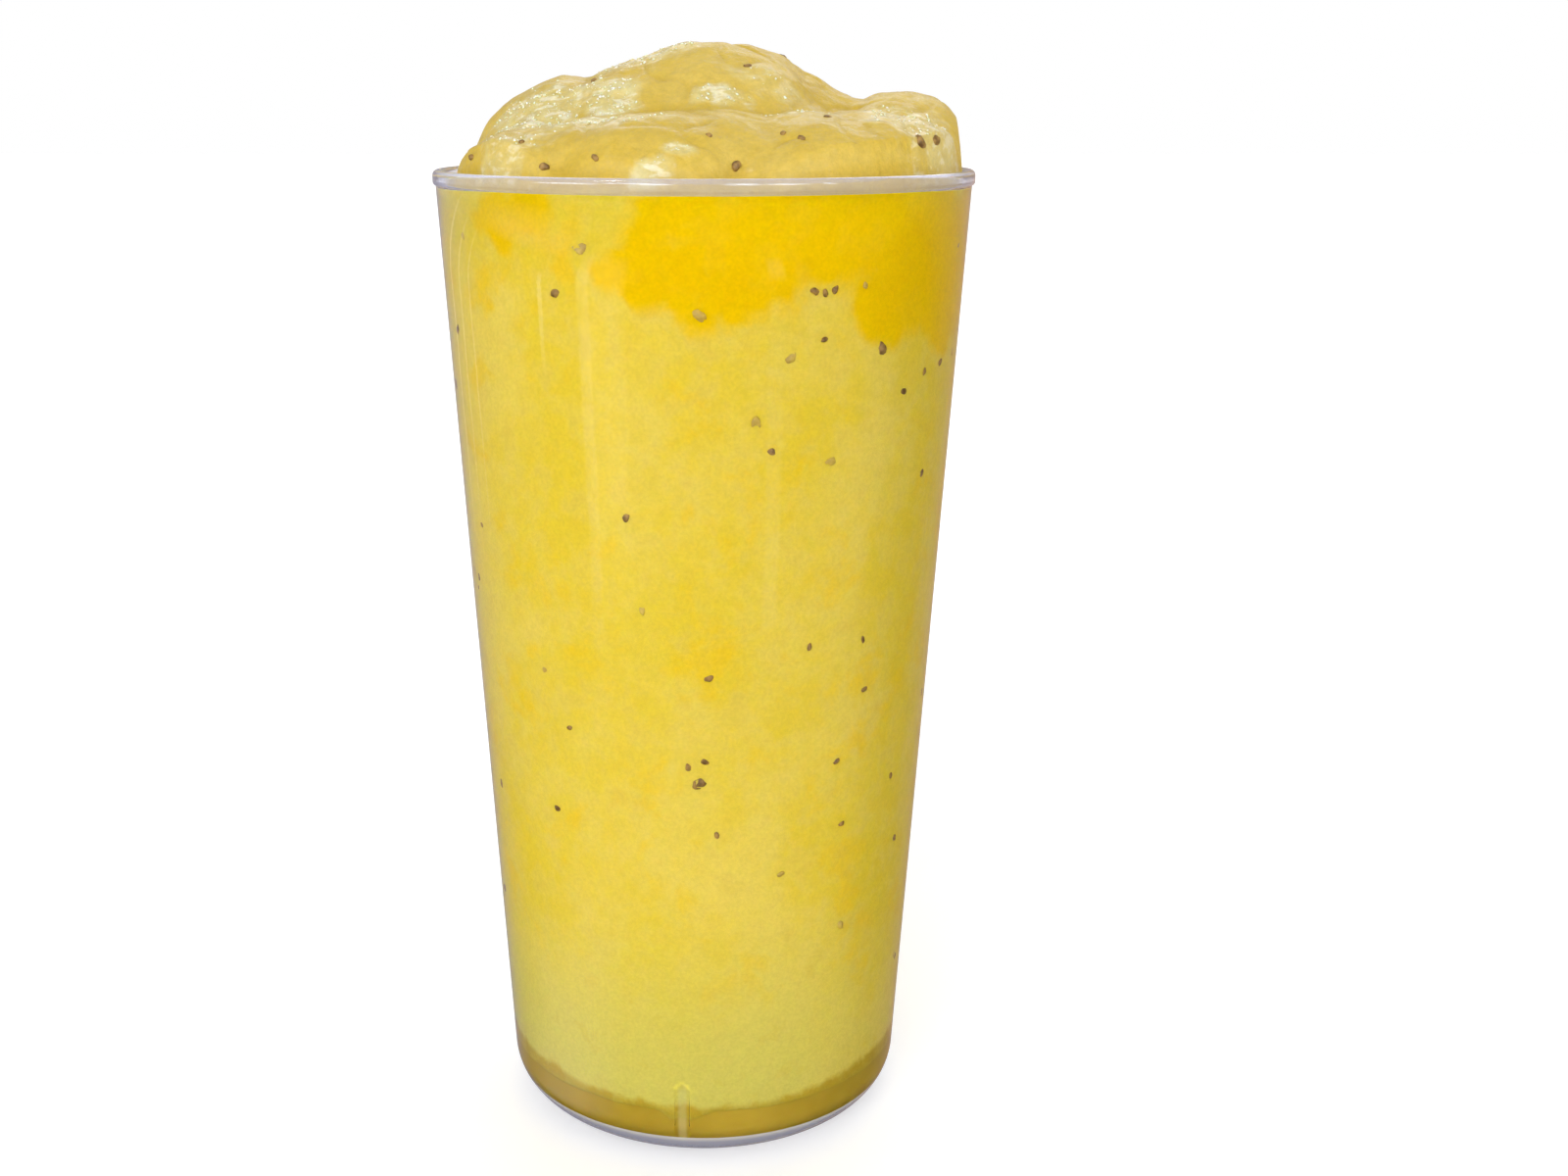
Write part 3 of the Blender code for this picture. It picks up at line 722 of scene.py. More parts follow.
def low_at(x, y, z):
    """How pale and green the slush turns towards the foot, from 0 to 1: less on the right."""
    return smooth(50 * MM, 12 * MM, z) * (1 - 0.8 * smooth(0.3, 0.9, x / inner_radius(z)))


def slush_dip(x, y):
    """How far the slush reaches down below its level at a point of the wall."""
    waver = WAVER * (0.6 + noise.noise(Vector((x, y, 0)) / MM * 0.16))
    ragged = 2 * noise.noise(Vector((x, y, 5)) / MM * 0.5)
    return max(0.0, waver) + DIP_DEPTH * smooth(DIP_REACH, 1.5, off_lug(x, y)[1] + ragged)


def crown_normal(x, y):
    """Upward normal of the crown's lobes at a point."""
    step = 0.5 * MM
    slope_x = (crown_height(x + step, y, 0) - crown_height(x - step, y, 0)) / (2 * step)
    slope_y = (crown_height(x, y + step, 0) - crown_height(x, y - step, 0)) / (2 * step)
    return Vector((-slope_x, -slope_y, 1.0)).normalized()


# Shader groups and materials


def pulp_group():
    """Mottled fruit pulp: its colour, with clouds, grit, juice and froth, painted shade in the crown's
    creases, painted glints in the froth, painted light and highlight at the lugs, and its grain.
    """
    tree, given, result = new_tree("fruit_pulp", "ShaderNodeTree", (
        ("Base", "NodeSocketColor", (0.85, 0.6, 0.06, 1)),
        ("Pale", "NodeSocketColor", (0.8, 0.65, 0.2, 1)),
        ("Deep", "NodeSocketColor", (0.8, 0.45, 0.0, 1)),
        ("Froth", "NodeSocketColor", (0.8, 0.7, 0.35, 1)),
        ("Low", "NodeSocketColor", (0.69, 0.61, 0.13, 1)),
        ("Amber", "NodeSocketColor", (0.53, 0.365, 0.03, 1)),
        ("Foam And Glint", "NodeSocketColor", (0.95, 0.93, 0.76, 1)),
        ("Rib Light", "NodeSocketColor", (0.7, 0.66, 0.3, 1)),
        ("Cap Glint", "NodeSocketColor", (0.95, 0.86, 0.16, 1)),
        ("Mottle", "NodeSocketFloat", 1.0),
        ("Grit", "NodeSocketFloat", 0.0),
    ), (("Color", "NodeSocketColor"), ("Grain", "NodeSocketFloat")))
    place = object_place(tree)

    def eased(value, low, high):
        return add_node(tree, "ShaderNodeMapRange", {"Value": value, "From Min": low, "From Max": high},
                        interpolation_type="SMOOTHSTEP").outputs[0]

    def cloud(scale, detail, low, high, stretch=(1, 1, 1)):
        mapped = add_node(tree, "ShaderNodeMapping", {"Vector": place, "Scale": stretch})
        field = noise_node(tree, mapped.outputs[0], scale, detail=detail, roughness=0.6, distortion=0.3)
        return eased(field.outputs["Fac"], low, high)

    def blend(share, first, second):
        return mixed(tree, share, first, second)

    def weighed(field, share):
        return maths(tree, "MULTIPLY", maths(tree, "MULTIPLY", field, share), given["Mottle"])

    small = cloud(210.0, 5.0, 0.4, 0.68)
    grain = cloud(1900.0, 2.0, 0.3, 0.7)
    colour = blend(weighed(cloud(42.0, 4.0, 0.36, 0.64, (1, 1, 0.7)), 0.6), given["Base"], given["Pale"])
    colour = blend(weighed(small, 0.4), colour, given["Pale"])
    colour = blend(weighed(cloud(95.0, 4.0, 0.53, 0.7), 0.5), colour, given["Deep"])
    colour = blend(share_of(tree, "low"), colour, given["Low"])
    amber_share = eased(maths(tree, "MULTIPLY_ADD", small, 0.5, share_of(tree, "amber")), 0.3, 1.2)
    colour = blend(maths(tree, "MULTIPLY", amber_share, 0.95), colour, given["Amber"])
    raggedness = maths(tree, "MULTIPLY", maths(tree, "SUBTRACT", small, 0.5), 0.35)
    juice = eased(maths(tree, "ADD", share_of(tree, "juice"), raggedness), 0.05, 0.95)
    colour = blend(juice, colour, given["Deep"])
    # Painted shade: the deep colour laid into the crown's creases
    colour = blend(share_of(tree, "hollow_shade"), colour, given["Deep"])
    froth = share_of(tree, "froth")
    colour = blend(maths(tree, "MULTIPLY", froth, maths(tree, "MULTIPLY_ADD", small, 0.5, 0.5)), colour,
                   given["Froth"])
    # Near-white streaks in the froth: partly its own paleness, partly painted glints
    foam_and_glint = maths(tree, "MULTIPLY", cloud(430.0, 3.0, 0.5, 0.64, (0.6, 1, 1.3)), froth)
    colour = blend(maths(tree, "MULTIPLY", foam_and_glint, 0.6), colour, given["Foam And Glint"])
    # Painted light: a paler streak where a lug's plastic column stands before the pulp
    colour = blend(maths(tree, "MULTIPLY", share_of(tree, "rib_light"), 0.3), colour, given["Rib Light"])
    # Painted highlight: a bright arc over each lug's rounded top
    colour = blend(maths(tree, "MULTIPLY", share_of(tree, "cap_glint"), 0.9), colour, given["Cap Glint"])
    grit = cloud(620.0, 3.0, 0.35, 0.65)
    value = maths(tree, "ADD", maths(tree, "MULTIPLY_ADD", grain, 0.08, 0.92),
                  maths(tree, "MULTIPLY", grit, maths(tree, "MULTIPLY_ADD", given["Grit"], 0.05, 0.04)))
    speckled = add_node(tree, "ShaderNodeHueSaturation", {"Value": value, "Color": colour})
    tree.links.new(speckled.outputs[0], result.inputs["Color"])
    tree.links.new(grain, result.inputs["Grain"])
    return tree


def new_material(name, **values):
    """A material and its Principled shader, with constants set on the shader's own sockets."""
    made = bpy.data.materials.new(name)
    made.use_nodes = True
    shader = made.node_tree.nodes["Principled BSDF"]
    for key, value in values.items():
        shader.inputs[key.replace("_", " ")].default_value = value
    return made, made.node_tree, shader


def clear_plastic(name, milkiness, tint, roughness):
    """Hard clear plastic, faintly rippled, with less tint above the foot: the fuller tint low down is painted
    shade and reflection, the paler strip above it a painted light line. It lets the lamps through.
    """
    made, tree, shader = new_material(name)
    settings = bpy.context.scene.smoothie_tumbler
    shader.inputs["Transmission Weight"].default_value = 1.0 - milkiness
    shader.inputs["Roughness"].default_value = roughness
    shader.inputs["IOR"].default_value = settings.refraction
    place = object_place(tree)
    height = add_node(tree, "ShaderNodeSeparateXYZ", {0: place}).outputs["Z"]
    # Painted shade low in the foot, and a paler painted light line above FOOT_LINE
    pale = tuple(1 - (1 - c) * TINT_LEFT for c in tint)
    tree.links.new(mixed(tree, ranged(tree, height, *FOOT_LINE), tint, pale), shader.inputs["Base Color"])
    ripple = noise_node(tree, place, 55.0, detail=1.0)
    scuffs = noise_node(tree, place, 900.0, detail=3.0)
    relief = maths(tree, "ADD", ripple.outputs["Fac"], maths(tree, "MULTIPLY", scuffs.outputs["Fac"], 0.02))
    bump = add_node(tree, "ShaderNodeBump", {"Height": relief, "Strength": 0.2, "Distance": 0.0008})
    tree.links.new(bump.outputs[0], shader.inputs["Normal"])
    through = add_node(tree, "ShaderNodeBsdfTransparent", {"Color": (0.97, 0.97, 0.98, 1)})
    shadow = add_node(tree, "ShaderNodeLightPath").outputs["Is Shadow Ray"]
    both = add_node(tree, "ShaderNodeMixShader", {0: shadow, 1: shader.outputs[0], 2: through.outputs[0]})
    tree.links.new(both.outputs[0], tree.nodes["Material Output"].inputs["Surface"])
    return made


def pulp_material(name, wet, colours, mottle):
    """Frozen fruit pulp: free and wet on the crown, or pressed against the wall."""
    made, tree, shader = new_material(name, Specular_IOR_Level=0.2 if wet else 0.0,
                                      Subsurface_Weight=0.15 if wet else 0.5,
                                      Subsurface_Scale=0.0015 if wet else 0.003,
                                      Coat_Roughness=0.12, Coat_IOR=1.33)
    shader.inputs["Subsurface Radius"].default_value = (1.0, 0.6, 0.12)
    group = bpy.data.node_groups.get("fruit_pulp") or pulp_group()
    pulp = add_node(tree, "ShaderNodeGroup", node_tree=group)
    for key, value in zip(("Base", "Pale", "Deep", "Froth"), colours):
        pulp.inputs[key].default_value = (*value, 1)
    pulp.inputs["Mottle"].default_value = mottle
    pulp.inputs["Grit"].default_value = 1.0 if wet else 0.0
    tree.links.new(pulp.outputs["Color"], shader.inputs["Base Color"])
    if not wet:
        shader.inputs["Roughness"].default_value = 0.9
        return made
    place, froth = object_place(tree), share_of(tree, "froth")
    rough = ranged(tree, pulp.outputs["Grain"], to_low=0.3, to_high=0.6)
    tree.links.new(rough, shader.inputs["Roughness"])
    tree.links.new(maths(tree, "MULTIPLY_ADD", froth, 0.45, 0.08), shader.inputs["Coat Weight"])
    lumps = noise_node(tree, place, 420.0, detail=4.0, roughness=0.55)
    crystals = noise_node(tree, place, 1300.0, detail=5.0, roughness=0.75)
    sharp = maths(tree, "MULTIPLY", crystals.outputs["Fac"], maths(tree, "MULTIPLY_ADD", froth, 0.6, 0.2))
    height = maths(tree, "ADD", sharp, lumps.outputs["Fac"])
    bump = add_node(tree, "ShaderNodeBump", {"Height": height, "Strength": 0.55, "Distance": 0.0008})
    tree.links.new(bump.outputs[0], shader.inputs["Normal"])
    return made


def amber_juice():
    """Clouded amber juice, browner than the pulp, with soft streaks of pulp in it."""
    made, tree, shader = new_material("settled_juice", Specular_IOR_Level=0.0, Subsurface_Weight=0.4,
                                      Subsurface_Scale=0.003, Roughness=0.9)
    shader.inputs["Subsurface Radius"].default_value = (1.0, 0.5, 0.08)
    amber = bpy.context.scene.smoothie_drink.juice_colour
    streaks = noise_node(tree, object_place(tree), 90.0, detail=3.0)
    paler = tuple(min(1.0, c * 1.5 + 0.02) for c in amber)
    streaked = mixed(tree, ranged(tree, streaks.outputs["Fac"], 0.45, 0.8, to_high=0.45), amber, paler)
    # Painted light: a paler streak where a lug's plastic column stands before the juice
    rib_light = maths(tree, "MULTIPLY", share_of(tree, "rib_light"), 0.5)
    tree.links.new(mixed(tree, rib_light, streaked, (0.72, 0.6, 0.24)), shader.inputs["Base Color"])
    return made


def seed_shell(name, dark, light):
    """Brown seed shell, mottled."""
    made, tree, shader = new_material(name, Specular_IOR_Level=0.3)
    mottle = noise_node(tree, object_place(tree), 900.0, detail=3.0).outputs["Fac"]
    tree.links.new(mixed(tree, ranged(tree, mottle, 0.35, 0.65), dark, light), shader.inputs["Base Color"])
    tree.links.new(maths(tree, "MULTIPLY_ADD", mottle, 0.4, 0.3), shader.inputs["Roughness"])
    return made


def ice_glint():
    """Small wet crystals of ice in the froth, some whitened as painted glints."""
    made, tree, shader = new_material("ice_glint", Subsurface_Weight=0.3, Subsurface_Scale=0.001,
                                      Coat_Weight=1.0, Coat_Roughness=0.05)
    vary = noise_node(tree, object_place(tree), 700.0).outputs["Fac"]
    # The whiter crystals are painted highlight, besides the ice's own paleness
    colour = mixed(tree, ranged(tree, vary, 0.42, 0.6), (0.86, 0.78, 0.46), (1.0, 0.96, 0.8))
    tree.links.new(colour, shader.inputs["Base Color"])
    tree.links.new(maths(tree, "MULTIPLY", vary, 0.3), shader.inputs["Roughness"])
    return made


def pale_floor():
    """A plain pale matt floor with a barely visible tooth."""
    made, tree, shader = new_material("pale_floor", Specular_IOR_Level=0.1)
    tooth = noise_node(tree, object_place(tree), 60.0, detail=3.0)
    pale = ranged(tree, tooth.outputs["Fac"], to_low=0.86, to_high=0.89)
    tree.links.new(pale, shader.inputs["Base Color"])
    shader.inputs["Roughness"].default_value = 0.8
    shader.inputs["Emission Color"].default_value = (1, 1, 1, 1)
    shader.inputs["Emission Strength"].default_value = 0.3
    return made


# Settings that a user would change


class TumblerSettings(bpy.types.PropertyGroup):
    """The tumbler's plastic."""

    tint: bpy.props.FloatVectorProperty(
        name="Tint", description="Colour of the clear plastic", subtype="COLOR", size=3, min=0, max=1,
        default=(0.9, 0.9, 0.967))
    refraction: bpy.props.FloatProperty(
        name="Refraction", description="Index of refraction of the plastic", default=1.5, min=1, max=2)
    # The lip's milky lavender is painted reflection
    lip_reflection_tint: bpy.props.FloatVectorProperty(
        name="Lip tint", description="Colour of the lip", subtype="COLOR", size=3, min=0, max=1,
        default=(0.5, 0.5, 0.84))
    lip_reflection_milkiness: bpy.props.FloatProperty(
        name="Lip milkiness", description="How clouded the lip is", default=0.17, min=0, max=0.5,
        subtype="FACTOR")
    # The foot's darker milky lavender is painted shade and reflection
    foot_shade_tint: bpy.props.FloatVectorProperty(
        name="Foot tint", description="Colour of the thick foot", subtype="COLOR", size=3, min=0, max=1,
        default=(0.47, 0.5, 0.69))
    foot_shade_milkiness: bpy.props.FloatProperty(
        name="Foot milkiness", description="How clouded the thick foot is", default=0.45, min=0, max=0.5,
        subtype="FACTOR")
    columns: bpy.props.IntProperty(
        name="Columns", description="Facets round the tumbler", default=320, min=48, max=720)


class DrinkSettings(bpy.types.PropertyGroup):
    """The smoothie and the juice that has settled out of it."""

    columns: bpy.props.IntProperty(
        name="Columns", description="Facets round the smoothie", default=400, min=84, max=720)
    crown_rings: bpy.props.IntProperty(
        name="Crown rings", description="Rings of facets on the crown", default=105, min=24, max=200)
    wall_rings: bpy.props.IntProperty(
        name="Wall rings", description="Rings of facets down the wall", default=80, min=10, max=200)
    pulp_colour: bpy.props.FloatVectorProperty(
        name="Pulp", description="Colour of the frozen pulp", subtype="COLOR", size=3, min=0, max=1,
        default=(0.8, 0.628, 0.05))
    # The crown's pulp is a darker copy of the pulp: painted shade
    shaded_crown_colour: bpy.props.FloatVectorProperty(
        name="Crown", description="Colour of the pulp on the crown", subtype="COLOR", size=3, min=0, max=1,
        default=(0.605, 0.42, 0.045))
    juice_colour: bpy.props.FloatVectorProperty(
        name="Settled juice", description="Colour of the settled juice", subtype="COLOR", size=3, min=0,
        max=1, default=(0.47, 0.32, 0.03))


class GarnishSettings(bpy.types.PropertyGroup):
    """Crushed seeds and ice."""

    seed_thickness: bpy.props.FloatProperty(
        name="Seed thickness", description="Thickness of a seed as a share of its length", default=0.55,
        min=0.1, max=1, subtype="FACTOR")
    wall_seed_thickness: bpy.props.FloatProperty(
        name="Pressed seed thickness", description="The same for a seed that is pressed to the wall",
        default=0.35, min=0.1, max=1, subtype="FACTOR")
    ice_count: bpy.props.IntProperty(
        name="Ice crystals", description="Crystals tried on the crown; froth keeps them", default=9000, min=0,
        max=20000)
    ice_size: bpy.props.FloatProperty(
        name="Ice size", description="Largest crystal", default=0.6 * MM, min=0, max=0.005, unit="LENGTH")


class StageSettings(bpy.types.PropertyGroup):
    """Floor, lamps and camera."""

    floor_size: bpy.props.FloatProperty(
        name="Floor", description="Side of the floor", default=12.0, min=1, max=50, unit="LENGTH")
    light: bpy.props.FloatProperty(
        name="Light", description="Strength of all the lamps together", default=1.0, min=0, max=10)


# Operators


def mark(mesh, name, share_at):
    """Stores a share, found from each vertex's place, as an attribute of the mesh."""
    shares = [share_at(*vertex.co) for vertex in mesh.vertices]
    mesh.attributes.new(name, "FLOAT", "POINT").data.foreach_set("value", shares)


def settle(piece, node=None):
    """Hands a finished piece to the frame, or says that there is none."""
    if not piece.data.polygons:
        raise RuntimeError(f"{piece.name} has no faces")
    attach(piece, "root")
    if node:
        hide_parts(node)


class SMOOTHIE_OT_tumbler(bpy.types.Operator):
    """Makes the clear tumbler with its lip, heel, foot and stacking lugs"""

    bl_idname = "smoothie.tumbler"
    bl_label = "Tumbler"

    def execute(self, context):
        settings = context.scene.smoothie_tumbler
        clear = clear_plastic("clear_plastic", 0.0, tuple(settings.tint), 0.03)
        # The lip's and the foot's milky copies of the plastic are painted reflection, and in the foot painted
        # shade too
        lip = clear_plastic("lip_reflection_plastic", settings.lip_reflection_milkiness, tuple(settings.lip_reflection_tint), 0.06)
        foot = clear_plastic("foot_shade_plastic", settings.foot_shade_milkiness, tuple(settings.foot_shade_tint), 0.15)
        piece = turned("tumbler_clear", tumbler_section(), settings.columns, clear)
        piece.data.materials.append(lip)
        piece.data.materials.append(foot)
        for face in piece.data.polygons:
            radius = math.hypot(face.center.x, face.center.y)
            if face.center.z > LIP_TOP - LIP_BAND:
                face.material_index = 1
            elif face.center.z < FOOT_BAND and radius > inner_radius(FLOOR_Z) - FLOOR_ROUNDING:
                face.material_index = 2
        settle(piece, "tumbler")
        return {"FINISHED"}


class SMOOTHIE_OT_settled_juice(bpy.types.Operator):
    """Makes the amber juice in the rounded foot"""

    bl_idname = "smoothie.settled_juice"
    bl_label = "Settled juice"

    def execute(self, context):
        columns = context.scene.smoothie_drink.columns
        piece = turned("settled_juice_amber", juice_section(), columns, amber_juice())
        mark(piece.data, "rib_light", rib_light_at)
        settle(piece, "settled_juice")
        return {"FINISHED"}


class SMOOTHIE_OT_smoothie(bpy.types.Operator):
    """Makes the frozen smoothie, pressed to the wall below and heaped in lobes above the lip"""

    bl_idname = "smoothie.smoothie"
    bl_label = "Smoothie"

    def execute(self, context):
        settings = context.scene.smoothie_drink
        body_colours = (tuple(settings.pulp_colour), *BODY_SHADES)
        crown_colours = (tuple(settings.shaded_crown_colour), *CROWN_SHADES)
        body = pulp_material("smoothie_body", False, body_colours, BODY_MOTTLE)
        crown = pulp_material("smoothie_crown", True, crown_colours, CROWN_MOTTLE)
        section = smoothie_section(settings.crown_rings, settings.wall_rings)
        piece = turned("smoothie_pulp", section, settings.columns, body)
        mesh = piece.data
        mesh.materials.append(crown)
        rim = inner_radius(BRIM_Z, RIM_GAP)
        on_crown = [v.co.z > BRIM_Z - HAIR for v in mesh.vertices]
        open_top = [top and math.hypot(v.co.x, v.co.y) < rim for v, top in zip(mesh.vertices, on_crown)]
        for vertex, top in zip(mesh.vertices, open_top):
            x, y, z = vertex.co
            if top:
                vertex.co.z = crown_height(x, y, 1)
            elif z < SMOOTHIE_BOTTOM + DIP_SPREAD:
                low = 1 - (z - SMOOTHIE_BOTTOM) / DIP_SPREAD
                lower = max(z - low * slush_dip(x, y), FLOOR_Z + FLOOR_ROUNDING + 0.1 * MM)
                narrower = 1 - TAPER * (z - lower) / inner_radius(z)
                vertex.co = (x * narrower, y * narrower, lower)
        above = BRIM_Z + 0.1 * MM
        mark(mesh, "juice", lambda x, y, z: juice_at(x, y, z) if z < above else 0.0)
        mark(mesh, "froth", lambda x, y, z: froth_at(x, y) if z > above else 0.0)
        mark(mesh, "hollow_shade", lambda x, y, z: hollow_shade_at(x, y) if z > above else 0.0)
        mark(mesh, "amber", amber_at)
        mark(mesh, "low", low_at)
        mark(mesh, "rib_light", rib_light_at)
        mark(mesh, "cap_glint", cap_glint_at)
        for face in mesh.polygons:
            face.material_index = int(all(on_crown[i] for i in face.vertices))
        settle(piece, "smoothie")
        return {"FINISHED"}


def crown_seed_places():
    """Seeds on the crown: those in view, and a rule for the side that faces away."""
    spots = list(FRONT_SEEDS)
    for i in range(BACK_SEED_COUNT):
        angle = between(BACK_SEED_SECTOR, i * GOLDEN_SHARE % 1)
        radius = between(BACK_SEED_REACH, math.sqrt((i + 0.5) / BACK_SEED_COUNT))
        size = between(BACK_SEED_SIZES, 0.5 + 0.5 * math.sin(BACK_SEED_SIZE_TURN * i))
        spots.append((radius * math.cos(angle), radius * math.sin(angle), size))
    places = []
    for i, (x, y, size) in enumerate(spots):
        x, y, size = x * MM, y * MM, size * MM * SEED_FIT
        normal = crown_normal(x, y)
        place = Vector((x, y, crown_height(x, y, 1))) - normal * size * SEED_SINK
        places.append((place, normal, size, TURN * (i * GOLDEN_SHARE % 1)))
    return places


def wall_seed_places(seen, count, sector, thickness):
    """Seeds that show behind the wall: those in view, and a rule for the rest of the way round."""
    spots = [(math.radians(azimuth), z, size) for azimuth, z, size in seen]
    for i in range(count):
        azimuth = between(sector, i * GOLDEN_SHARE % 1)
        z = between(WALL_SEED_HEIGHTS, (i + 0.5) / count) + WALL_SEED_STRAY * math.sin(WALL_SEED_TURNS[0] * i)
        share = (0.5 + 0.5 * math.sin(WALL_SEED_TURNS[1] * i)) ** 2
        spots.append((azimuth, z, between(WALL_SEED_SIZES, share)))
    places = []
    for i, (azimuth, z, size) in enumerate(spots):
        z, size = z * MM, size * MM
        radius = inner_radius(z, -SMOOTHIE_REACH) - size * thickness / 2 + WALL_SEED_PRESS
        normal = Vector((math.cos(azimuth), math.sin(azimuth), -TAPER)).normalized()
        place = Vector((radius * math.cos(azimuth), radius * math.sin(azimuth), z))
        places.append((place, normal, size, TURN * (i * WALL_SEED_SPIN % 1)))
    return places


class SMOOTHIE_OT_seeds(bpy.types.Operator):
    """Makes the crushed seeds on the crown and behind the wall"""

    bl_idname = "smoothie.seeds"
    bl_label = "Crushed seeds"

    def execute(self, context):
        settings = context.scene.smoothie_garnish
        thin = settings.wall_seed_thickness
        bare = seed_shell("seed_shell", (0.13, 0.065, 0.015), (0.42, 0.25, 0.06))
        veiled = seed_shell("seed_veiled", (0.5, 0.34, 0.07), (0.66, 0.48, 0.08))
        behind = wall_seed_places(WALL_SEEDS, WALL_SEED_COUNT, WALL_SEED_SECTOR, thin)
        deeper = wall_seed_places(VEILED_SEEDS, VEILED_SEED_COUNT, VEILED_SEED_SECTOR, thin)
        thick = settings.seed_thickness
        settle(chips("seeds_on_crown", crown_seed_places(), bare, thickness=thick, chipping=0.5))
        settle(chips("seeds_at_wall", behind, bare, thickness=thin, chipping=0.5))
        settle(chips("seeds_veiled", deeper, veiled, thickness=thin, chipping=0.6))
        return {"FINISHED"}


class SMOOTHIE_OT_ice(bpy.types.Operator):
    """Strews ice crystals where the crown is frothy"""

    bl_idname = "smoothie.ice"
    bl_label = "Ice crystals"

    def execute(self, context):
        settings = context.scene.smoothie_garnish
        rim = inner_radius(BRIM_Z, ICE_EDGE * MM)
        noise.seed_set(SCATTER_SEED)
        places = []
        for i in range(settings.ice_count):
            angle, radius = TURN * (i * GOLDEN_SHARE % 1), rim * math.sqrt((i + 0.5) / settings.ice_count)
            jitter = noise.noise_vector(Vector((i * 0.731, 4.2, 1.7))) * ICE_STRAY * MM
            x, y = radius * math.cos(angle) + jitter.x, radius * math.sin(angle) + jitter.y
            keep = 0.5 + 0.5 * math.sin(ICE_KEEP_TURN * i)
            if math.hypot(x, y) > rim or froth_at(x, y) < 0.25 + 0.75 * keep:
                continue
            size = settings.ice_size * between(ICE_SIZES, (0.5 + 0.5 * math.sin(ICE_SIZE_TURN * i)) ** 2)
            normal = crown_normal(x, y)
            place = Vector((x, y, crown_height(x, y, 1))) + normal * size * 0.1
            facing = (normal + noise.noise_vector(Vector((i * 1.3, 0, 0)))).normalized()
            places.append((place, facing, size, i * ICE_SPIN))
        piece = chips("ice_crystals", places, ice_glint(), roundness=1, thickness=0.6, chipping=0.5,
                      chipping_scale=2500.0)
        settle(piece)
        return {"FINISHED"}


def area_lamp(name, place, target, size, power, colour=(1, 1, 1), steepness=SOFT_EDGE):
    """An area lamp that shows only as a glint, fading out towards its edges."""
    data = bpy.data.lights.new(name, "AREA")
    data.shape = "RECTANGLE"
    data.size, data.size_y = size
    data.energy = power
    data.color = colour
    data.use_nodes = True
    tree = data.node_tree
    spot = add_node(tree, "ShaderNodeNewGeometry").outputs["Parametric"]
    across = add_node(tree, "ShaderNodeSeparateXYZ", {0: spot}).outputs
    fades = [maths(tree, "MULTIPLY", maths(tree, "MULTIPLY", across[axis], rise),
                   maths(tree, "SUBTRACT", 1.0, across[axis]), clamp=True)
             for axis, rise in zip("XY", steepness)]
    tree.links.new(maths(tree, "MULTIPLY", *fades), tree.nodes["Emission"].inputs["Strength"])
    made = bpy.data.objects.new(name, data)
    made.location = place
    made.rotation_euler = (Vector(target) - Vector(place)).to_track_quat("-Z", "Y").to_euler()
    made.visible_camera = False
    made.visible_transmission = False
    made.visible_diffuse = False
    bpy.context.scene.collection.objects.link(made)


def ring_lamp(name, azimuth, distance, z, size, power, colour, steepness):
    """An area lamp that faces the tumbler's axis from this side, at its own height."""
    angle = math.radians(azimuth)
    place = (distance * math.cos(angle), distance * math.sin(angle), z)
    area_lamp(name, place, (0, 0, z), size, power, colour, steepness)


def soft_sun(name, direction, strength, spread, colour=(1, 1, 1)):
    """A broad distant lamp that lights without a glint."""
    data = bpy.data.lights.new(name, "SUN")
    data.energy = strength
    data.angle = math.radians(spread)
    data.color = colour
    made = bpy.data.objects.new(name, data)
    made.rotation_euler = Vector(direction).to_track_quat("Z", "Y").to_euler()
    made.visible_glossy = False
    made.visible_transmission = False
    bpy.context.scene.collection.objects.link(made)


def pale_room():
    """White to the camera, even and soft to matt surfaces, and cooler and darker in reflections."""
    world = bpy.data.worlds.new("pale_room")
    bpy.context.scene.world = world
    world.use_nodes = True
    tree = world.node_tree
    tree.nodes.clear()
    direction = add_node(tree, "ShaderNodeTexCoord").outputs["Generated"]
    toward = add_node(tree, "ShaderNodeSeparateXYZ", {0: direction}).outputs
    right = ranged(tree, toward["X"], 0.0, 0.3)
    far = mixed(tree, right, (0.36, 0.33, 0.42), (0.5, 0.34, 0.25))
    left, below = ranged(tree, toward["X"], -0.6, -0.85), ranged(tree, toward["Z"], -0.48, -0.6)
    near = mixed(tree, maths(tree, "MULTIPLY", left, below), (0.02, 0.02, 0.03), (0.6, 0.6, 1.0))
    low = mixed(tree, ranged(tree, toward["Y"], 0.35, 0.95), near, far)
    sky = mixed(tree, ranged(tree, toward["Z"], -0.1, 0.6), low, (0.5, 0.51, 0.58))
    seen = add_node(tree, "ShaderNodeBackground", {"Color": (1, 1, 1, 1), "Strength": 1.0})
    even = add_node(tree, "ShaderNodeBackground", {"Color": (1, 1, 1, 1), "Strength": 0.63})
    mirrored = add_node(tree, "ShaderNodeBackground", {"Color": sky, "Strength": 1.0})
    path = add_node(tree, "ShaderNodeLightPath").outputs
    felt = add_node(tree, "ShaderNodeMixShader", {0: path["Is Glossy Ray"], 1: even.outputs[0],
                                                  2: mirrored.outputs[0]})
    both = add_node(tree, "ShaderNodeMixShader", {0: path["Is Camera Ray"], 1: felt.outputs[0],
                                                  2: seen.outputs[0]})
    out = add_node(tree, "ShaderNodeOutputWorld")
    tree.links.new(both.outputs[0], out.inputs[0])


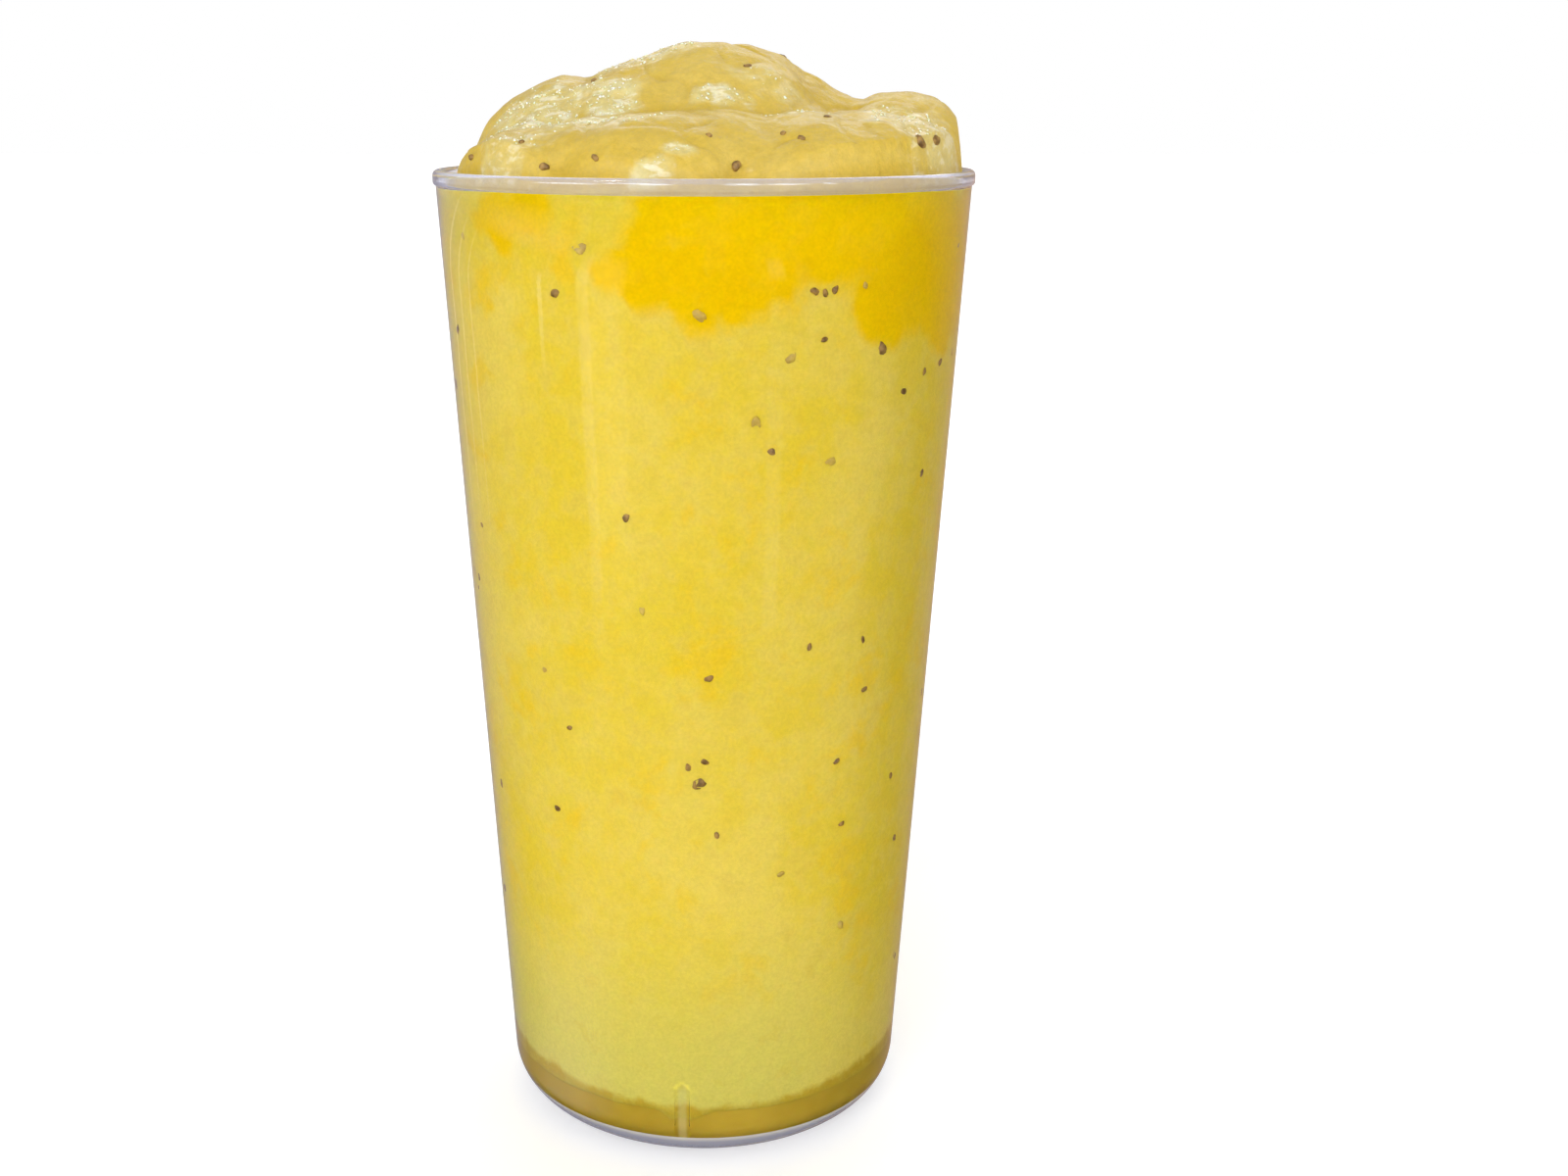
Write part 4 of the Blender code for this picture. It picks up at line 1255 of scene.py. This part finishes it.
class SMOOTHIE_OT_stage(bpy.types.Operator):
    """Sets the floor, the soft lamps and the photograph's camera"""

    bl_idname = "smoothie.stage"
    bl_label = "Stage"

    def execute(self, context):
        settings = context.scene.smoothie_stage
        side = settings.floor_size / 2
        mesh = bpy.data.meshes.new("floor")
        corners = [(-side, -side, 0), (side, -side, 0), (side, side, 0), (-side, side, 0)]
        mesh.from_pydata(corners, [], [(0, 1, 2, 3)])
        mesh.materials.append(pale_floor())
        floor = bpy.data.objects.new("floor", mesh)
        context.scene.collection.objects.link(floor)
        floor.visible_glossy = False
        middle = (0, 0, 0.11)
        power = settings.light
        soft_sun("key", (-0.35, -0.85, 0.4), 1.62 * power, 40, (1.0, 0.985, 0.95))
        soft_sun("fill", (0.8, -0.6, 0.1), 0.8 * power, 50, (1.0, 0.95, 0.82))
        soft_sun("back", (0.15, 0.9, 0.2), 1.9 * power, 70, (1.0, 0.98, 0.94))
        area_lamp("high glint", (-0.35, -0.2, 0.85), middle, (0.12, 0.12), 1.6 * power)
        area_lamp("left glint", (-0.42, -0.68, 0.5), middle, (0.3, 0.22), 2.4 * power, (0.85, 0.9, 1.0))
        area_lamp("front glint", (0.22, -0.8, 0.5), middle, (0.2, 0.18), 1.3 * power, (0.85, 0.9, 1.0))
        area_lamp("far glint", (0.1, 0.75, 0.6), middle, (0.6, 0.3), 1.5 * power)
        for azimuth, z, width, height, strength, colour in STRIPS:
            ring_lamp("strip", azimuth, STRIP_DISTANCE, z * MM, (width * MM, height * MM), strength * power,
                      colour, STRIP_EDGE)
        for azimuth, width, strength in LIP_LAMPS:
            ring_lamp("lip lamp", azimuth, LIP_LAMP_DISTANCE, LIP_LAMP_Z, (width, LIP_LAMP_HEIGHT),
                      strength * power, COOL, LIP_LAMP_EDGE)
        pale_room()
        data = bpy.data.cameras.new("photo_camera")
        data.lens = CAMERA_LENS
        data.sensor_width = 36.0
        data.shift_x = CAMERA_SHIFT
        data.clip_start = 0.01
        camera = bpy.data.objects.new("photo_camera", data)
        camera.location = CAMERA_PLACE
        camera.rotation_euler = (math.pi / 2 - CAMERA_PITCH, 0, 0)
        context.scene.collection.objects.link(camera)
        context.scene.camera = camera
        context.scene.view_settings.view_transform = "Standard"
        return {"FINISHED"}


class SMOOTHIE_PT_panel(bpy.types.Panel):
    """Lists the pieces and their settings"""

    bl_idname = "SMOOTHIE_PT_panel"
    bl_label = "Smoothie"
    bl_space_type = "VIEW_3D"
    bl_region_type = "UI"
    bl_category = "Smoothie"

    def draw(self, context):
        for step in STEPS:
            self.layout.operator(step.bl_idname)
        for holder in SETTINGS:
            group = getattr(context.scene, holder)
            for name in group.bl_rna.properties.keys():
                if name not in ("rna_type", "name"):
                    self.layout.prop(group, name)


STEPS = (
    SMOOTHIE_OT_stage,
    SMOOTHIE_OT_tumbler,
    SMOOTHIE_OT_settled_juice,
    SMOOTHIE_OT_smoothie,
    SMOOTHIE_OT_seeds,
    SMOOTHIE_OT_ice,
)
SETTINGS = {
    "smoothie_tumbler": TumblerSettings,
    "smoothie_drink": DrinkSettings,
    "smoothie_garnish": GarnishSettings,
    "smoothie_stage": StageSettings,
}


def register():
    for group in SETTINGS.values():
        bpy.utils.register_class(group)
    for holder, group in SETTINGS.items():
        setattr(bpy.types.Scene, holder, bpy.props.PointerProperty(type=group))
    for step in STEPS:
        bpy.utils.register_class(step)
    bpy.utils.register_class(SMOOTHIE_PT_panel)


def unregister():
    bpy.utils.unregister_class(SMOOTHIE_PT_panel)
    for step in reversed(STEPS):
        bpy.utils.unregister_class(step)
    for holder, group in SETTINGS.items():
        delattr(bpy.types.Scene, holder)
        bpy.utils.unregister_class(group)


def main():
    register()
    bpy.ops.smoothie.stage()
    bpy.ops.smoothie.tumbler()
    bpy.ops.smoothie.settled_juice()
    bpy.ops.smoothie.smoothie()
    bpy.ops.smoothie.seeds()
    bpy.ops.smoothie.ice()


if __name__ == "__main__":
    main()
